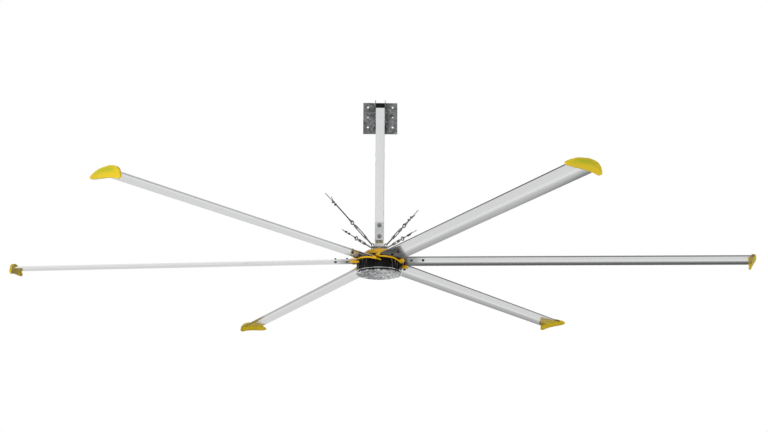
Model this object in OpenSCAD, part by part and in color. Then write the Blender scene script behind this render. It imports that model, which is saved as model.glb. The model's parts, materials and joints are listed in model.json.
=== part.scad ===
// Large six-blade, low-speed ceiling fan seen from below: a direct-drive hub hangs on a square mast
// from a bolted beam bracket, and four turnbuckle guys steady the mast's foot.
// The origin is the middle of the bracket's corner bolt holes, on the face that meets the beam.
// +Y points into the beam, +Z is up, and the fan's own axis is vertical in front of the beam.

/* [Rotor] */
// Radius of the fan over the winglets
tip_r = 3050; // [1800:10:3600]
// Turn of the first blade from the +X axis, in degrees
blade_turn = -4.74; // [-30:0.01:30]
// How far a blade's tip hangs below the hub
droop = 28; // [0:1:60]
// Distance down from the bracket's bolt centre to the blades
drop = 1275; // [900:5:2400]
// Distance from the beam's face to the fan's axis
standoff = 55; // [53:0.5:62]

/* [Blade] */
// Width of the blade from leading to trailing edge
chord = 208; // [190:1:230]
// Greatest thickness of the blade's section
section_t = 21; // [20:0.5:24]
// Thickness of the trailing edge
edge_t = 1.6; // [1:0.1:2.4]
// Rise of the section's mean line
camber = 17; // [14:0.5:19]
// Pitch of the blade, leading edge up, in degrees
pitch = 6.6; // [4:0.1:9]
// Thickness of the extrusion's outer skin
skin = 2; // [1.5:0.1:2.4]
// Thickness of the extrusion's inner webs
web = 3; // [2:0.1:5]
// Radius at which the blade begins
root_r = 215; // [208:1:225]

/* [Winglet] */
// Length of the winglet along the blade's width
winglet_l = 277; // [260:1:300]
// Height of the winglet
winglet_h = 108; // [100:1:125]
// Thickness of the winglet's plate at its ridge
winglet_t = 10; // [8:0.5:14]
// Depth of the rim round the winglet's inner face
winglet_rim = 12; // [6:0.5:18]
// Width of that rim
rim_w = 3.5; // [2.5:0.1:5]
// Radius of the crown along the winglet
crown_r = 1300; // [1100:10:2500]
// Radius of each half of the ridged outer face
ridge_r = 330; // [280:5:500]
// Offset of those radii that makes the ridge
ridge_off = 24; // [10:1:40]
// Length of the plug that enters the blade
plug_l = 40; // [20:1:60]

/* [Root fairing] */
// Radius at which the fairing begins
fairing_r = 198; // [194:0.5:202]
// Length of the fairing along the blade
fairing_l = 31; // [26:1:44]
// Chamfer of the outboard corners along the blade
corner_l = 10; // [6:1:14]
// Chamfer of the outboard corners across the blade
corner_w = 14; // [8:1:24]

/* [Strut] */
// Width of the flat strut between hub and blade
strut_w = 60; // [50:1:64]
// Radius at which the strut begins inside the hub
strut_in = 90; // [84:1:96]
// Radius at which the strut ends inside the blade
strut_out = 392; // [380:1:450]
// Radius of the inner bolt through the blade
bolt_in = 266; // [258:1:275]
// Radius of the outer bolt through the blade
bolt_out = 362; // [330:1:370]
// Radius of the blade bolts' shanks
blade_bolt_r = 5; // [4:0.5:6]
// Radii of the two hub bolts of a strut
hub_bolt_in = 108; // [104:1:114]
hub_bolt_out = 142; // [136:1:145]
// Radius of the hub bolts' shanks
hub_bolt_r = 6; // [4:0.5:7]

/* [Hub] */
// Radius of the hub and motor housing
hub_r = 186; // [182:0.5:190]
// Height of the hub's top above the blades
hub_top = 37; // [36:0.5:42]
// Thickness of the hub's lid
lid_t = 4.5; // [3:0.5:5]
// Radius of the hub's lid
lid_r = 158; // [156:1:170]
// Height above the blades to which the casting's outer edge is bevelled
hub_edge = 28; // [20:0.5:31]
// Depth of the hub casting below the blades
hub_low = 14; // [10:0.5:20]
// Distance of the lid's screws from its edge
lid_screw_in = 9; // [8.5:0.5:11]
// Radius and height of the black neck below the top cover
neck_r = 95; // [88:0.5:98]
neck_h = 5; // [3:0.5:8]

/* [Top cover] */
// Radius of the cover's rim
cover_r = 132; // [124:0.5:138]
// Height of the cover
cover_h = 66; // [54:0.5:67]
// Radius of the opening in its top
cover_hole = 50; // [46:0.5:58]
// Wall of the cover
cover_t = 2.5; // [1.5:0.1:4]

/* [Motor] */
// Depth of the motor drum
drum_h = 71; // [66:0.5:90]
// Wall of the drum
drum_wall = 11; // [9:0.5:14]
// Number of upright ribs round the drum
rib_count = 24; // [12:1:36]
// Width of a rib
rib_w = 5; // [3:0.5:8]
// Depth of a rib
rib_d = 2.5; // [1:0.1:4]
// Thickness of the magnet ring
magnet_t = 10; // [7:0.5:12]
// Running gap between magnets and core
air_gap = 1.5; // [0.8:0.1:3]
// Height of the stator core
core_h = 36; // [28:0.5:40]
// Number of teeth on the stator core
tooth_count = 24; // [12:1:36]
// Height of the bright trim ring
trim_h = 8; // [5:0.5:12]
// Height of the dark recess below it
recess_h = 12; // [10:0.5:18]
// How far the recess is set in from the hub's radius
recess_in = 8; // [5:0.5:12]
// Thickness of the bottom cover
bottom_t = 6; // [4:0.5:10]

/* [Shaft] */
// Radius of the hollow shaft at the upper bearing
shaft_r = 30; // [27:0.5:31]
// Radius of the shaft at the lower bearing
tail_r = 20; // [18:0.5:22]
// Radius of the shaft's threaded end
thread_r = 22; // [20:0.5:25]
// Radius of the cable way in the shaft
shaft_bore = 12; // [8:0.5:14]
// Radius of the flange under the yoke
flange_r = 40; // [36:0.5:44]

/* [Mast] */
// Width of the square mast
mast_w = 76; // [70:0.5:84]
// Wall of the mast
mast_wall = 4.5; // [3:0.1:7]
// Radius of the mast's outer corners
mast_corner = 9; // [7.5:0.5:14]
// Height of the mast's top above the bolt centre
mast_top = 55; // [50:1:90]

/* [Yoke] */
// Height of the yoke's base plate above the blades
yoke_z = 117; // [114:0.5:122]
// Thickness of the base plate
yoke_base = 10; // [8:0.5:12]
// Half width of the base plate
yoke_half = 52; // [50:0.5:60]
// Width of the two cheeks
cheek_w = 72; // [66:0.5:76]
// Thickness of the cheeks
cheek_t = 8; // [5:0.5:12]
// Height of the cheeks above the base plate
cheek_h = 197; // [180:1:240]
// Height of the windows' lower and upper edges above the base plate
window_low = 18; // [12:0.5:22]
window_high = 45; // [40:0.5:46]
// Width of the windows
window_w = 60; // [50:0.5:62]
// Heights of the two through-bolts above the base plate
yoke_bolt_low = 77; // [70:0.5:100]
yoke_bolt_high = 171; // [140:0.5:174]
// Radius of the through-bolts
mast_bolt_r = 8; // [6:0.5:10]

/* [Bracket] */
// Width of the bracket's base plate
plate_w = 290; // [270:1:340]
// Thickness of the base plate
plate_t = 10; // [8:0.5:12]
// Spacing of the corner bolt holes across the plate
hole_x = 210; // [200:1:240]
// Spacing of the corner bolt holes up the plate
hole_z = 180; // [160:1:200]
// Radius of the corner bolt holes
hole_r = 9; // [6:0.5:11]
// Radius of the middle bolt holes
mid_hole_r = 6.5; // [5:0.5:9]
// Plate above the top holes and below the bottom holes
plate_over = 39; // [30:1:60]
plate_under = 59; // [30:1:90]
// Thickness of the ears
ear_t = 6; // [4:0.5:8]
// How far the ears stand out from the plate
ear_out = 70; // [62:1:80]
// Height at which the ears' lower ends begin to flare, below the bolt centre
ear_low = 83; // [80:1:95]
// Height and width of the flare
flare_h = 35; // [20:1:50]
flare_w = 16; // [6:1:24]
// Heights of the two mast bolts from the bolt centre
mast_bolt_high = 20; // [10:1:30]
mast_bolt_low = -60; // [-64:1:-45]

/* [Guys] */
// Distance of a guy's hole from the fan's axis, in X and in Y
guy_hole = 41; // [40:0.5:43]
// Rise of the guys above level, in degrees
guy_rise = 32; // [25:0.5:40]
// Length of the longest guy
guy_l = 632; // [600:1:900]
// Radius of the turnbuckles' screws
screw_r = 6; // [5:0.5:7]
// Radius of a turnbuckle's end bosses
buckle_r = 11; // [10:0.5:14]
// Length of a turnbuckle's end bosses
buckle_end = 18; // [14:0.5:20]
// Thickness of a turnbuckle's two rails
rail_t = 3.5; // [3:0.1:4]
// Width of those rails
rail_w = 10; // [8:0.5:14]
// Length of screw that shows inside a turnbuckle
screw_show = 15; // [15:0.5:16]
// Mean radius of the hook rings
hook_r = 16; // [15.5:0.5:19]
// Mean radius of the eyes
eye_r = 15; // [14:0.5:16]
// Radius of the bar that rings and eyes are bent from
bar_r = 4.75; // [4:0.25:5]
// Radius of the wire rope
rope_r = 3; // [2:0.25:3.5]

/* [Hidden] */

$fn = 48;
blade_count = 6;
// Overrun of every cut past the face that it opens
over = 1;
// Clearance of a bolt in its hole
bolt_gap = 0.3;
// Radial clearance of pieces that are fitted into each other
fit = 0.05;
// Gap between pieces that lie against a curved or sloped seat
seat = 0.3;
// Thickness of a washer
washer_t = 2;
// Depth to which welded or moulded pieces run into each other
fuse = 1;
// Thread that stands out past a nut
bolt_tail = 4;
// Clearance of a hook ring's bar in its hole
hook_gap = 2.25;
guy_hole_r = bar_r + hook_gap;

// Colours of the finishes
grey = "gainsboro";
steel = "darkgray";
yellow = "gold";
black = "#1c1c1e";
bright = "whitesmoke";
zinc = "darkkhaki";
copper = "peru";

droop_angle = atan(droop / tip_r);

// The blade's section: thickness of a common aerofoil family over a parabolic mean line
half_shares = [0.2969, -0.126, -0.3516, 0.2843, -0.1036];
stations = 14;
function station(i) = (1 - cos(180 * i / stations)) / 2;
function half_at(s) = edge_t / 2 * s + 5 * section_t * (half_shares[0] * sqrt(s) + half_shares[1] * s
    + half_shares[2] * s * s + half_shares[3] * s * s * s + half_shares[4] * s * s * s * s);
function mean_at(s) = 4 * camber * s * (1 - s);
function across(s) = (s - 0.5) * chord;

// One closed outline between two stations, thicker than the section by grow on each side
function band(from, to, grow, n) = concat(
    [for (i = [0:n]) let (s = from + (to - from) * i / n) [across(s), mean_at(s) + half_at(s) + grow]],
    [for (i = [n:-1:0]) let (s = from + (to - from) * i / n) [across(s), mean_at(s) - half_at(s) - grow]]);
function whole(grow) = concat(
    [for (i = [0:stations]) let (s = station(i))
        [across(s) * (1 + 2 * grow / chord), mean_at(s) + half_at(s) + grow]],
    [for (i = [stations:-1:(grow > 0 ? 0 : 1)]) let (s = station(i))
        [across(s) * (1 + 2 * grow / chord), mean_at(s) - half_at(s) - grow]]);

// The strut's cell lies across the thick middle of the section
cell_mid_share = 0.45;
cell_from = cell_mid_share - (strut_w / 2 + seat) / chord;
cell_to = cell_mid_share + (strut_w / 2 + seat) / chord;
cell_steps = 8;
function cell_s(i) = cell_from + (cell_to - cell_from) * i / cell_steps;
cell_roof = min([for (i = [0:cell_steps]) mean_at(cell_s(i)) + half_at(cell_s(i))]) - skin;
cell_floor = max([for (i = [0:cell_steps]) mean_at(cell_s(i)) - half_at(cell_s(i))]) + skin;
strut_t = cell_roof - cell_floor - 2 * seat;
strut_mid = (cell_roof + cell_floor) / 2;
strut_s = across(cell_mid_share);
web_share = web / chord;
// Outer limits of the hollow cells before and behind the strut's cell
nose_share = 0.05;
tail_share = 0.86;
tail_split_share = 0.73;

// Ends of the pieces along the blade
blade_end = tip_r - winglet_t;
hub_floor = strut_mid - strut_t / 2;

// Heights in the hub, measured from the blades
lid_z = hub_top - lid_t;
drum_top = -hub_low;
drum_low = drum_top - drum_h;
trim_low = drum_low - trim_h;
recess_low = trim_low - recess_h;
bottom_low = recess_low - bottom_t;

// Radii in the motor, from the drum inwards
drum_out = hub_r - rib_d;
drum_in = drum_out - drum_wall;
magnet_in = drum_in - fit - magnet_t;
core_r = magnet_in - air_gap;
core_z = (drum_top + drum_low) / 2;
core_low = core_z - core_h / 2;
core_high = core_z + core_h / 2;
tooth_share = 0.5;
slot_in_share = 0.72;
slot_in = core_r * slot_in_share;
slot_w = 2 * PI * slot_in / tooth_count * tooth_share;
slot_gap = 0.5;
winding_rise = 9;
// Shoulder of the shaft that carries the core
core_seat = 5;
core_seat_r = shaft_r + core_seat;

// Bearings: radial sizes as shares of the free space, heights as sizes
bearing_h = 20;
bearing_wall = 24;
ring_share = 0.32;
ball_count = 12;
upper_z = 8;
lower_h = 14;
lower_rise = 6;
lower_wall = 20;
lower_z = recess_low + lower_rise;

// Sizes of the fasteners as shares of their shanks' radii
head_share = 1.75;
head_h_share = 1.1;
washer_share = 2.2;

// Gaps from the windows' upper edge to the mast's foot, the shaft's end and the nut's top
mast_gap = 2;
shaft_gap = 2;
nut_gap = 4;
mast_low = yoke_z + yoke_base + window_high + mast_gap;
shaft_top = yoke_z + yoke_base + window_high - shaft_gap;
nut_h = window_high - nut_gap;
// How far the lock nut's corners stay inside the mast's width
nut_in = 2;
nut_r = mast_w / 2 - nut_in;
// Height of the washer face under the lock nut
nut_foot = 4;
// Flange under the yoke, shoulder above the core, and length of shaft below the lower bearing
flange_t = 8;
step_h = 6;
tail_out = 2;
// Ring that keeps the lower bearing on the shaft
retainer_in = 3;
retainer_out = 3;
retainer_t = 2;

// Hub: bearing seats, floor, walls of the strut beds and the lid's edge
upper_bearing_r = shaft_r + bearing_wall;
lower_bearing_r = tail_r + lower_wall;
ring_cover = 5;
boss_in = upper_bearing_r - ring_cover;
hub_floor_t = 12;
pocket_at_share = 0.68;
pocket_r_share = 0.134;
pocket_at = pocket_at_share * hub_r;
pocket_r = pocket_r_share * hub_r;
// Turn of the pockets that keeps them midway between the struts, which lie ahead of the blades' middle
pocket_turn = asin(-strut_s / pocket_at);
lid_edge = 1.5;
// Turn that brings the lid's screws clear of the pockets
lid_screw_turn = 5;
neck_wall = 7;
cover_low = hub_top + seat;
// The cover's outline from its rim to its opening: shares of the way in, and of its height
cover_shares = [[0, 0], [0.012, 0.19], [0.049, 0.37], [0.11, 0.52], [0.232, 0.663], [0.39, 0.768],
    [0.585, 0.858], [0.78, 0.933], [1, 1]];

// Motor housing: lip under the casting, length of the ribs' run-out, magnets' overlap
drum_lip = 12;
lip_t = 6;
rib_end = 8;
magnet_over = 3;
spigot_h = 3;
shield_wall = 7;
trim_out = 1;
trim_edge = 2;
bottom_edge = 2.5;
// Shallow dish in the middle of the bottom cover
dish = 1.5;
dish_r = 95;
cover_screw_at = 168;
screw_hole_r = 3;
screw_head_r = 5.5;
screw_head_h = 3;
bolt_head_h = 5;
bolt_grip = 16;
clip_h = 13;
clip_wall = 7;
// Limits of the fairing across the blade, where its corners are chamfered
fairing_tail_share = 0.62;
fairing_nose_share = 0.55;
fairing_tail = fairing_tail_share * chord;
fairing_nose = fairing_nose_share * chord;
fairing_inner = sqrt(fairing_r * fairing_r - fairing_tail * fairing_tail);

// Guys 1 to 4 run near left, near right, far right and far left
guy_turns = [225, 315, 45, 135];
// Places along a guy as shares of guy_l: body's two ends, eye, two clips, dead end and live end
guy_shares = [
    [0.139, 0.388, 0.444, 0.790, 0.838, 0.922, 1.000],
    [0.144, 0.329, 0.393, 0.498, 0.548, 0.601, 0.693],
    [0.163, 0.309, 0.378, 0.490, 0.530, 0.642, 0.691],
    [0.174, 0.317, 0.374, 0.549, 0.617, 0.652, 0.704]];
function guy_at(g, k) = guy_shares[g][k] * guy_l;
// Wall of the thimble that the rope is bent round
thimble_t = 1.5;
bight_r = bar_r + seat + thimble_t + rope_r;
// Length over which the rope's two legs close behind the thimble
throat_l = 34;
// Half the distance between the rope's two legs
leg = rope_r + seat;
// How far a dead end springs away beyond its last clip, as a share of its length there
splay_share = 0.4;

// Everything below is drawn round the fan's own axis, with the blades at height zero
module at_axis() { translate([0, -standoff, -drop]) children(); }

// Local frame of a blade: X along the blade, Y to the trailing edge, Z up
module at_blade(i) {
    at_axis()
        rotate([0, 0, blade_turn + 360 / blade_count * i])
            rotate([0, droop_angle, 0])
                children();
}

// Draws a section given across and up, and extends it along the blade
module along(from, to) {
    translate([from, 0, 0])
        rotate([90, 0, 90])
            linear_extrude(to - from)
                children();
}

// Local frame of a guy: Z along the guy, from its hole in the yoke
module at_guy(g) {
    at_axis()
        translate([guy_hole * sqrt(2) * cos(guy_turns[g]), guy_hole * sqrt(2) * sin(guy_turns[g]),
            yoke_z + yoke_base / 2])
            rotate([0, 0, guy_turns[g]])
                translate([hook_r, 0, 0])
                    rotate([0, 90 - guy_rise, 0])
                        children();
}

module hexagon(flat, h) { cylinder(r = flat / cos(30), h = h, $fn = 6); }

// Bolt along Z with its head below zero and its nut above grip
module through_bolt(r, grip, tail) {
    translate([0, 0, -head_h_share * r - washer_t])
        hexagon(head_share * r * cos(30), head_h_share * r);
    translate([0, 0, -washer_t])
        cylinder(r = washer_share * r, h = washer_t);
    translate([0, 0, -washer_t])
        cylinder(r = r, h = grip + 2 * washer_t + head_h_share * r + tail);
    translate([0, 0, grip])
        cylinder(r = washer_share * r, h = washer_t);
    translate([0, 0, grip + washer_t])
        hexagon(head_share * r * cos(30), head_h_share * r);
}

// A ring bent from bar, in the plane of local X and Z, round local Y
module bar_ring(mean, bar) {
    rotate([90, 0, 0])
        rotate_extrude()
            translate([mean, 0])
                circle(bar);
}

// Bracket
function ear_profile() = let (x = mast_w / 2) [
    [x, hole_z / 2 + plate_over], [x + ear_t, hole_z / 2 + plate_over], [x + ear_t, -ear_low],
    [x + ear_t + flare_w, -ear_low - flare_h], [x + flare_w, -ear_low - flare_h], [x, -ear_low]];

module mount_bracket() {
    color(steel) difference() {
        union() {
            translate([-plate_w / 2, -plate_t, -hole_z / 2 - plate_under])
                cube([plate_w, plate_t, hole_z + plate_under + plate_over]);
            for (m = [0, 1]) mirror([m, 0, 0])
                translate([0, -plate_t, 0])
                    rotate([90, 0, 0])
                        linear_extrude(ear_out)
                            polygon(ear_profile());
        }
        for (x = [-1, 1], z = [-1, 1])
            translate([x * hole_x / 2, over, z * hole_z / 2])
                rotate([90, 0, 0])
                    cylinder(r = hole_r, h = plate_t + 2 * over);
        for (x = [-1, 1])
            translate([x * hole_x / 2, over, 0])
                rotate([90, 0, 0])
                    cylinder(r = mid_hole_r, h = plate_t + 2 * over);
        for (z = [mast_bolt_low, mast_bolt_high])
            translate([-mast_w / 2 - ear_t - over, -standoff, z])
                rotate([0, 90, 0])
                    cylinder(r = mast_bolt_r + bolt_gap, h = mast_w + 2 * ear_t + 2 * over);
    }
}

module rounded_square(w, r) {
    square([w, w - 2 * r], center = true);
    square([w - 2 * r, w], center = true);
    for (x = [-1, 1], y = [-1, 1])
        translate([x * (w / 2 - r), y * (w / 2 - r)])
            circle(r);
}

module mast_tube() {
    color(grey) difference() {
        translate([0, -standoff, mast_low - drop])
            linear_extrude(drop - mast_low + mast_top)
                difference() {
                    rounded_square(mast_w, mast_corner);
                    rounded_square(mast_w - 2 * mast_wall, mast_corner - mast_wall);
                }
        for (z = [mast_bolt_low, mast_bolt_high])
            translate([-mast_w / 2 - over, -standoff, z])
                rotate([0, 90, 0])
                    cylinder(r = mast_bolt_r + bolt_gap, h = mast_w + 2 * over);
        for (z = [yoke_bolt_low, yoke_bolt_high])
            translate([0, mast_w / 2 + over - standoff, yoke_z + yoke_base + z - drop])
                rotate([90, 0, 0])
                    cylinder(r = mast_bolt_r + bolt_gap, h = mast_w + 2 * over);
    }
}

module mast_bolts() {
    color(bright)
        for (z = [mast_bolt_low, mast_bolt_high])
            translate([-mast_w / 2 - ear_t, -standoff, z])
                rotate([0, 90, 0])
                    through_bolt(mast_bolt_r, mast_w + 2 * ear_t, bolt_tail);
}

// Yoke between mast and shaft
module lower_yoke() {
    color(steel) at_axis() difference() {
        union() {
            translate([0, 0, yoke_z])
                linear_extrude(yoke_base)
                    rounded_square(2 * yoke_half, yoke_half - guy_hole);
            for (m = [0, 1]) mirror([0, m, 0])
                translate([-cheek_w / 2, mast_w / 2, yoke_z + yoke_base - fuse])
                    cube([cheek_w, cheek_t, cheek_h + fuse]);
        }
        for (m = [0, 1]) mirror([0, m, 0])
            translate([-window_w / 2, mast_w / 2 - over, yoke_z + yoke_base + window_low])
                cube([window_w, cheek_t + 2 * over, window_high - window_low]);
        translate([0, 0, yoke_z - over])
            cylinder(r = thread_r + bolt_gap, h = yoke_base + 2 * over);
        for (x = [-1, 1], y = [-1, 1])
            translate([x * guy_hole, y * guy_hole, yoke_z - over])
                cylinder(r = guy_hole_r, h = yoke_base + 2 * over);
        for (z = [yoke_bolt_low, yoke_bolt_high])
            translate([0, mast_w / 2 + cheek_t + over, yoke_z + yoke_base + z])
                rotate([90, 0, 0])
                    cylinder(r = mast_bolt_r + bolt_gap, h = mast_w + 2 * cheek_t + 2 * over);
    }
}

module yoke_bolts() {
    color(bright) at_axis()
        for (z = [yoke_bolt_low, yoke_bolt_high])
            translate([0, -mast_w / 2 - cheek_t, yoke_z + yoke_base + z])
                rotate([-90, 0, 0])
                    through_bolt(mast_bolt_r, mast_w + 2 * cheek_t, bolt_tail);
}

module shaft_lock_nut() {
    color(zinc) at_axis() difference() {
        union() {
            translate([0, 0, yoke_z + yoke_base])
                cylinder(r = nut_r, h = nut_foot);
            translate([0, 0, yoke_z + yoke_base + nut_foot])
                hexagon(nut_r * cos(30), nut_h - nut_foot);
        }
        translate([0, 0, yoke_z + yoke_base - over])
            cylinder(r = thread_r + fit, h = nut_h + 2 * over);
    }
}

// Shaft: hollow, stepped, hung from the yoke by its flange and nut
function shaft_profile() = [
    [shaft_bore, lower_z - tail_out], [tail_r, lower_z - tail_out], [tail_r, lower_z + lower_h + fit],
    [shaft_r, lower_z + lower_h + fit], [shaft_r, core_low], [core_seat_r, core_low],
    [core_seat_r, core_high], [core_seat_r + step_h, core_high], [core_seat_r + step_h, core_high + step_h],
    [shaft_r, core_high + step_h], [shaft_r, yoke_z - flange_t], [flange_r, yoke_z - flange_t],
    [flange_r, yoke_z], [thread_r, yoke_z], [thread_r, shaft_top], [shaft_bore, shaft_top]];
module stator_shaft() {
    color(steel) at_axis()
        rotate_extrude()
            polygon(shaft_profile());
}

module stator_core() {
    color(steel) at_axis() difference() {
        translate([0, 0, core_low])
            cylinder(r = core_r, h = core_h);
        translate([0, 0, core_low - over])
            cylinder(r = core_seat_r + fit, h = core_h + 2 * over);
        for (t = [0:tooth_count - 1])
            rotate([0, 0, 360 / tooth_count * t])
                translate([slot_in, -slot_w / 2, core_low - over])
                    cube([core_r, slot_w, core_h + 2 * over]);
    }
}

module stator_windings() {
    color(copper) at_axis() {
        for (z = [core_low - winding_rise, core_high + seat])
            translate([0, 0, z])
                rotate_extrude()
                    translate([slot_in + slot_gap, 0])
                        square([core_r - slot_in - 4 * slot_gap, winding_rise - seat]);
        for (t = [0:tooth_count - 1])
            rotate([0, 0, 360 / tooth_count * t])
                translate([slot_in + slot_gap, -slot_w / 2 + slot_gap, core_low - winding_rise + slot_gap])
                    cube([core_r - slot_in - 4 * slot_gap, slot_w - 2 * slot_gap,
                        core_h + 2 * winding_rise - 2 * slot_gap]);
    }
}

// Bearings
module ring(inner, outer, z, h) {
    translate([0, 0, z])
        rotate_extrude()
            translate([inner, 0])
                square([outer - inner, h]);
}

module bearing_inner_rings() {
    color(bright) at_axis() {
        ring(shaft_r + fit, shaft_r + bearing_wall * ring_share, upper_z, bearing_h);
        ring(tail_r + fit, tail_r + lower_wall * ring_share, lower_z, lower_h);
    }
}

module bearing_outer_rings() {
    color(bright) at_axis() {
        ring(shaft_r + bearing_wall * (1 - ring_share), shaft_r + bearing_wall, upper_z, bearing_h);
        ring(tail_r + lower_wall * (1 - ring_share), tail_r + lower_wall, lower_z, lower_h);
        for (b = [0:ball_count - 1])
            rotate([0, 0, 360 / ball_count * b]) {
                translate([shaft_r + bearing_wall / 2, 0, upper_z + bearing_h / 2])
                    sphere(r = bearing_wall * (0.5 - ring_share) - fit);
                translate([tail_r + lower_wall / 2, 0, lower_z + lower_h / 2])
                    sphere(r = lower_wall * (0.5 - ring_share) - fit);
            }
    }
}

module shaft_retainer() {
    color(steel) at_axis()
        ring(tail_r - retainer_in, tail_r + retainer_out, lower_z - tail_out - seat - retainer_t, retainer_t);
}

// Top cover: a wide low dome, open round the shaft
function cover_line(inset) = [for (k = [0:len(cover_shares) - 1])
    [cover_r - inset - (cover_r - cover_hole) * cover_shares[k][0],
        cover_low + cover_h * cover_shares[k][1] - (k == 0 ? 0 : inset)]];
function cover_profile() = concat(cover_line(0), [for (k = [len(cover_shares) - 1:-1:0]) cover_line(cover_t)[k]]);

module top_cover() {
    color(yellow) at_axis() {
        rotate_extrude()
            polygon(cover_profile());
        ring(neck_r - neck_wall, cover_r - cover_t + fuse / 2, hub_top + neck_h, cover_t);
    }
}

// Hub casting: one thick disc with six pitched channels for the struts and a round pocket between each two
module channel() {
    translate([strut_in - seat, strut_s - strut_w / 2 - seat, hub_floor])
        cube([hub_r, strut_w + 2 * seat, 2 * hub_top]);
}

module hub_casting() {
    color(black) difference() {
        at_axis() difference() {
            rotate_extrude()
                polygon([[boss_in, -hub_low], [hub_r, -hub_low], [hub_r, hub_edge], [lid_r, lid_z],
                    [upper_bearing_r + fit, lid_z], [upper_bearing_r + fit, upper_z], [boss_in, upper_z]]);
            for (i = [0:blade_count - 1])
                rotate([0, 0, blade_turn + 360 / blade_count * (i + 0.5) - pocket_turn])
                    translate([pocket_at, 0, hub_floor_t - hub_low])
                        cylinder(r = pocket_r, h = 2 * hub_top);
        }
        for (i = [0:blade_count - 1])
            at_blade(i)
                rotate([-pitch, 0, 0]) {
                    channel();
                    for (r = [hub_bolt_in, hub_bolt_out])
                        translate([r, strut_s, hub_floor - bolt_grip - seat])
                            cylinder(r = hub_bolt_r + bolt_gap, h = 2 * hub_top);
                }
    }
}

module hub_lid() {
    color(black) at_axis()
        rotate_extrude()
            polygon([[upper_bearing_r - ring_cover, lid_z], [lid_r, lid_z], [lid_r, hub_top - lid_edge],
                [lid_r - lid_edge, hub_top], [neck_r, hub_top], [neck_r, hub_top + neck_h],
                [neck_r - neck_wall, hub_top + neck_h], [neck_r - neck_wall, hub_top],
                [upper_bearing_r - ring_cover, hub_top]]);
}

// Motor housing: drum, magnets, shield and trims
module motor_drum() {
    color(black) at_axis() {
        rotate_extrude()
            polygon([[drum_in, drum_low], [drum_out, drum_low], [drum_out, drum_top - rib_end],
                [hub_r, drum_top - rib_end + rib_d], [hub_r, drum_top], [drum_in - drum_lip, drum_top],
                [drum_in - drum_lip, drum_top - lip_t], [drum_in, drum_top - lip_t]]);
        for (k = [0:rib_count - 1])
            rotate([0, 0, 360 / rib_count * k])
                translate([drum_out - fuse, -rib_w / 2, drum_low])
                    cube([rib_d + fuse - over / 4, rib_w, drum_h - rib_end / 2]);
    }
}

module magnet_ring() {
    color(steel) at_axis()
        ring(magnet_in, drum_in - fit, core_low - magnet_over, core_h + 2 * magnet_over);
}

module end_shield() {
    color(black) at_axis()
        rotate_extrude()
            polygon([[lower_bearing_r - ring_cover, recess_low], [hub_r - recess_in, recess_low],
                [hub_r - recess_in, trim_low], [drum_in - fit, trim_low], [drum_in - fit, drum_low + spigot_h],
                [drum_in - fit - shield_wall, drum_low + spigot_h], [drum_in - fit - shield_wall, trim_low],
                [lower_bearing_r + shield_wall, trim_low], [lower_bearing_r + shield_wall, lower_z + lower_h],
                [lower_bearing_r + fit, lower_z + lower_h], [lower_bearing_r + fit, lower_z],
                [lower_bearing_r - ring_cover, lower_z]]);
}

module trim_ring() {
    color(bright) at_axis()
        rotate_extrude()
            polygon([[drum_in, trim_low], [hub_r - trim_edge, trim_low], [hub_r + trim_out, trim_low + trim_edge],
                [hub_r + trim_out, drum_low - trim_edge], [hub_r - trim_edge, drum_low], [drum_in, drum_low]]);
}

module bottom_cover() {
    color(steel) at_axis() difference() {
        rotate_extrude()
            polygon([[0, bottom_low + dish], [dish_r, bottom_low + dish], [dish_r + dish, bottom_low],
                [hub_r - bottom_edge, bottom_low], [hub_r + trim_out, bottom_low + bottom_edge],
                [hub_r + trim_out, recess_low], [0, recess_low]]);
        for (k = [0:blade_count - 1])
            rotate([0, 0, 360 / blade_count * k])
                translate([cover_screw_at, 0, bottom_low - over])
                    cylinder(r = screw_hole_r, h = bottom_t + 2 * over);
    }
}

// Screws of the lid, and of the bottom cover
module housing_screws() {
    color(bright) at_axis() {
        for (k = [0:blade_count - 1])
            rotate([0, 0, blade_turn + 360 / blade_count * (k + 0.5) + lid_screw_turn])
                translate([lid_r - lid_screw_in, 0, hub_top])
                    cylinder(r = screw_head_r, h = screw_head_h);
        for (k = [0:blade_count - 1])
            rotate([0, 0, 360 / blade_count * k])
                translate([cover_screw_at, 0, bottom_low - screw_head_h]) {
                    cylinder(r = screw_head_r, h = screw_head_h);
                    cylinder(r = screw_hole_r - fit, h = screw_head_h + bottom_t);
                }
    }
}

// Struts and the bolts that hold the blades
module blade_struts() {
    color(steel)
        for (i = [0:blade_count - 1])
            at_blade(i)
                rotate([-pitch, 0, 0]) difference() {
                    translate([strut_in, strut_s - strut_w / 2, hub_floor])
                        cube([strut_out - strut_in, strut_w, strut_t]);
                    for (r = [hub_bolt_in, hub_bolt_out])
                        translate([r, strut_s, hub_floor - over])
                            cylinder(r = hub_bolt_r + bolt_gap, h = strut_t + 2 * over);
                    for (r = [bolt_in, bolt_out])
                        translate([r, strut_s, hub_floor - over])
                            cylinder(r = blade_bolt_r + bolt_gap, h = strut_t + 2 * over);
                }
}

module strut_bolts() {
    color(bright)
        for (i = [0:blade_count - 1])
            at_blade(i)
                rotate([-pitch, 0, 0])
                    for (r = [hub_bolt_in, hub_bolt_out])
                        translate([r, strut_s, hub_floor + strut_t]) {
                            cylinder(r = washer_share * hub_bolt_r, h = washer_t);
                            translate([0, 0, washer_t])
                                hexagon(head_share * hub_bolt_r * cos(30), bolt_head_h);
                            translate([0, 0, -strut_t - bolt_grip])
                                cylinder(r = hub_bolt_r, h = strut_t + bolt_grip + washer_t);
                        }
}

// Lowest and highest places of the blade's skin under a washer of radius r
function under_washer(r) = min([for (k = [-1, 1]) let (s = cell_mid_share + k * r / chord)
    mean_at(s) - half_at(s)]);
function over_washer(r) = max([for (k = [-1, 0, 1]) let (s = cell_mid_share + k * r / chord)
    mean_at(s) + half_at(s)]);

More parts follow.
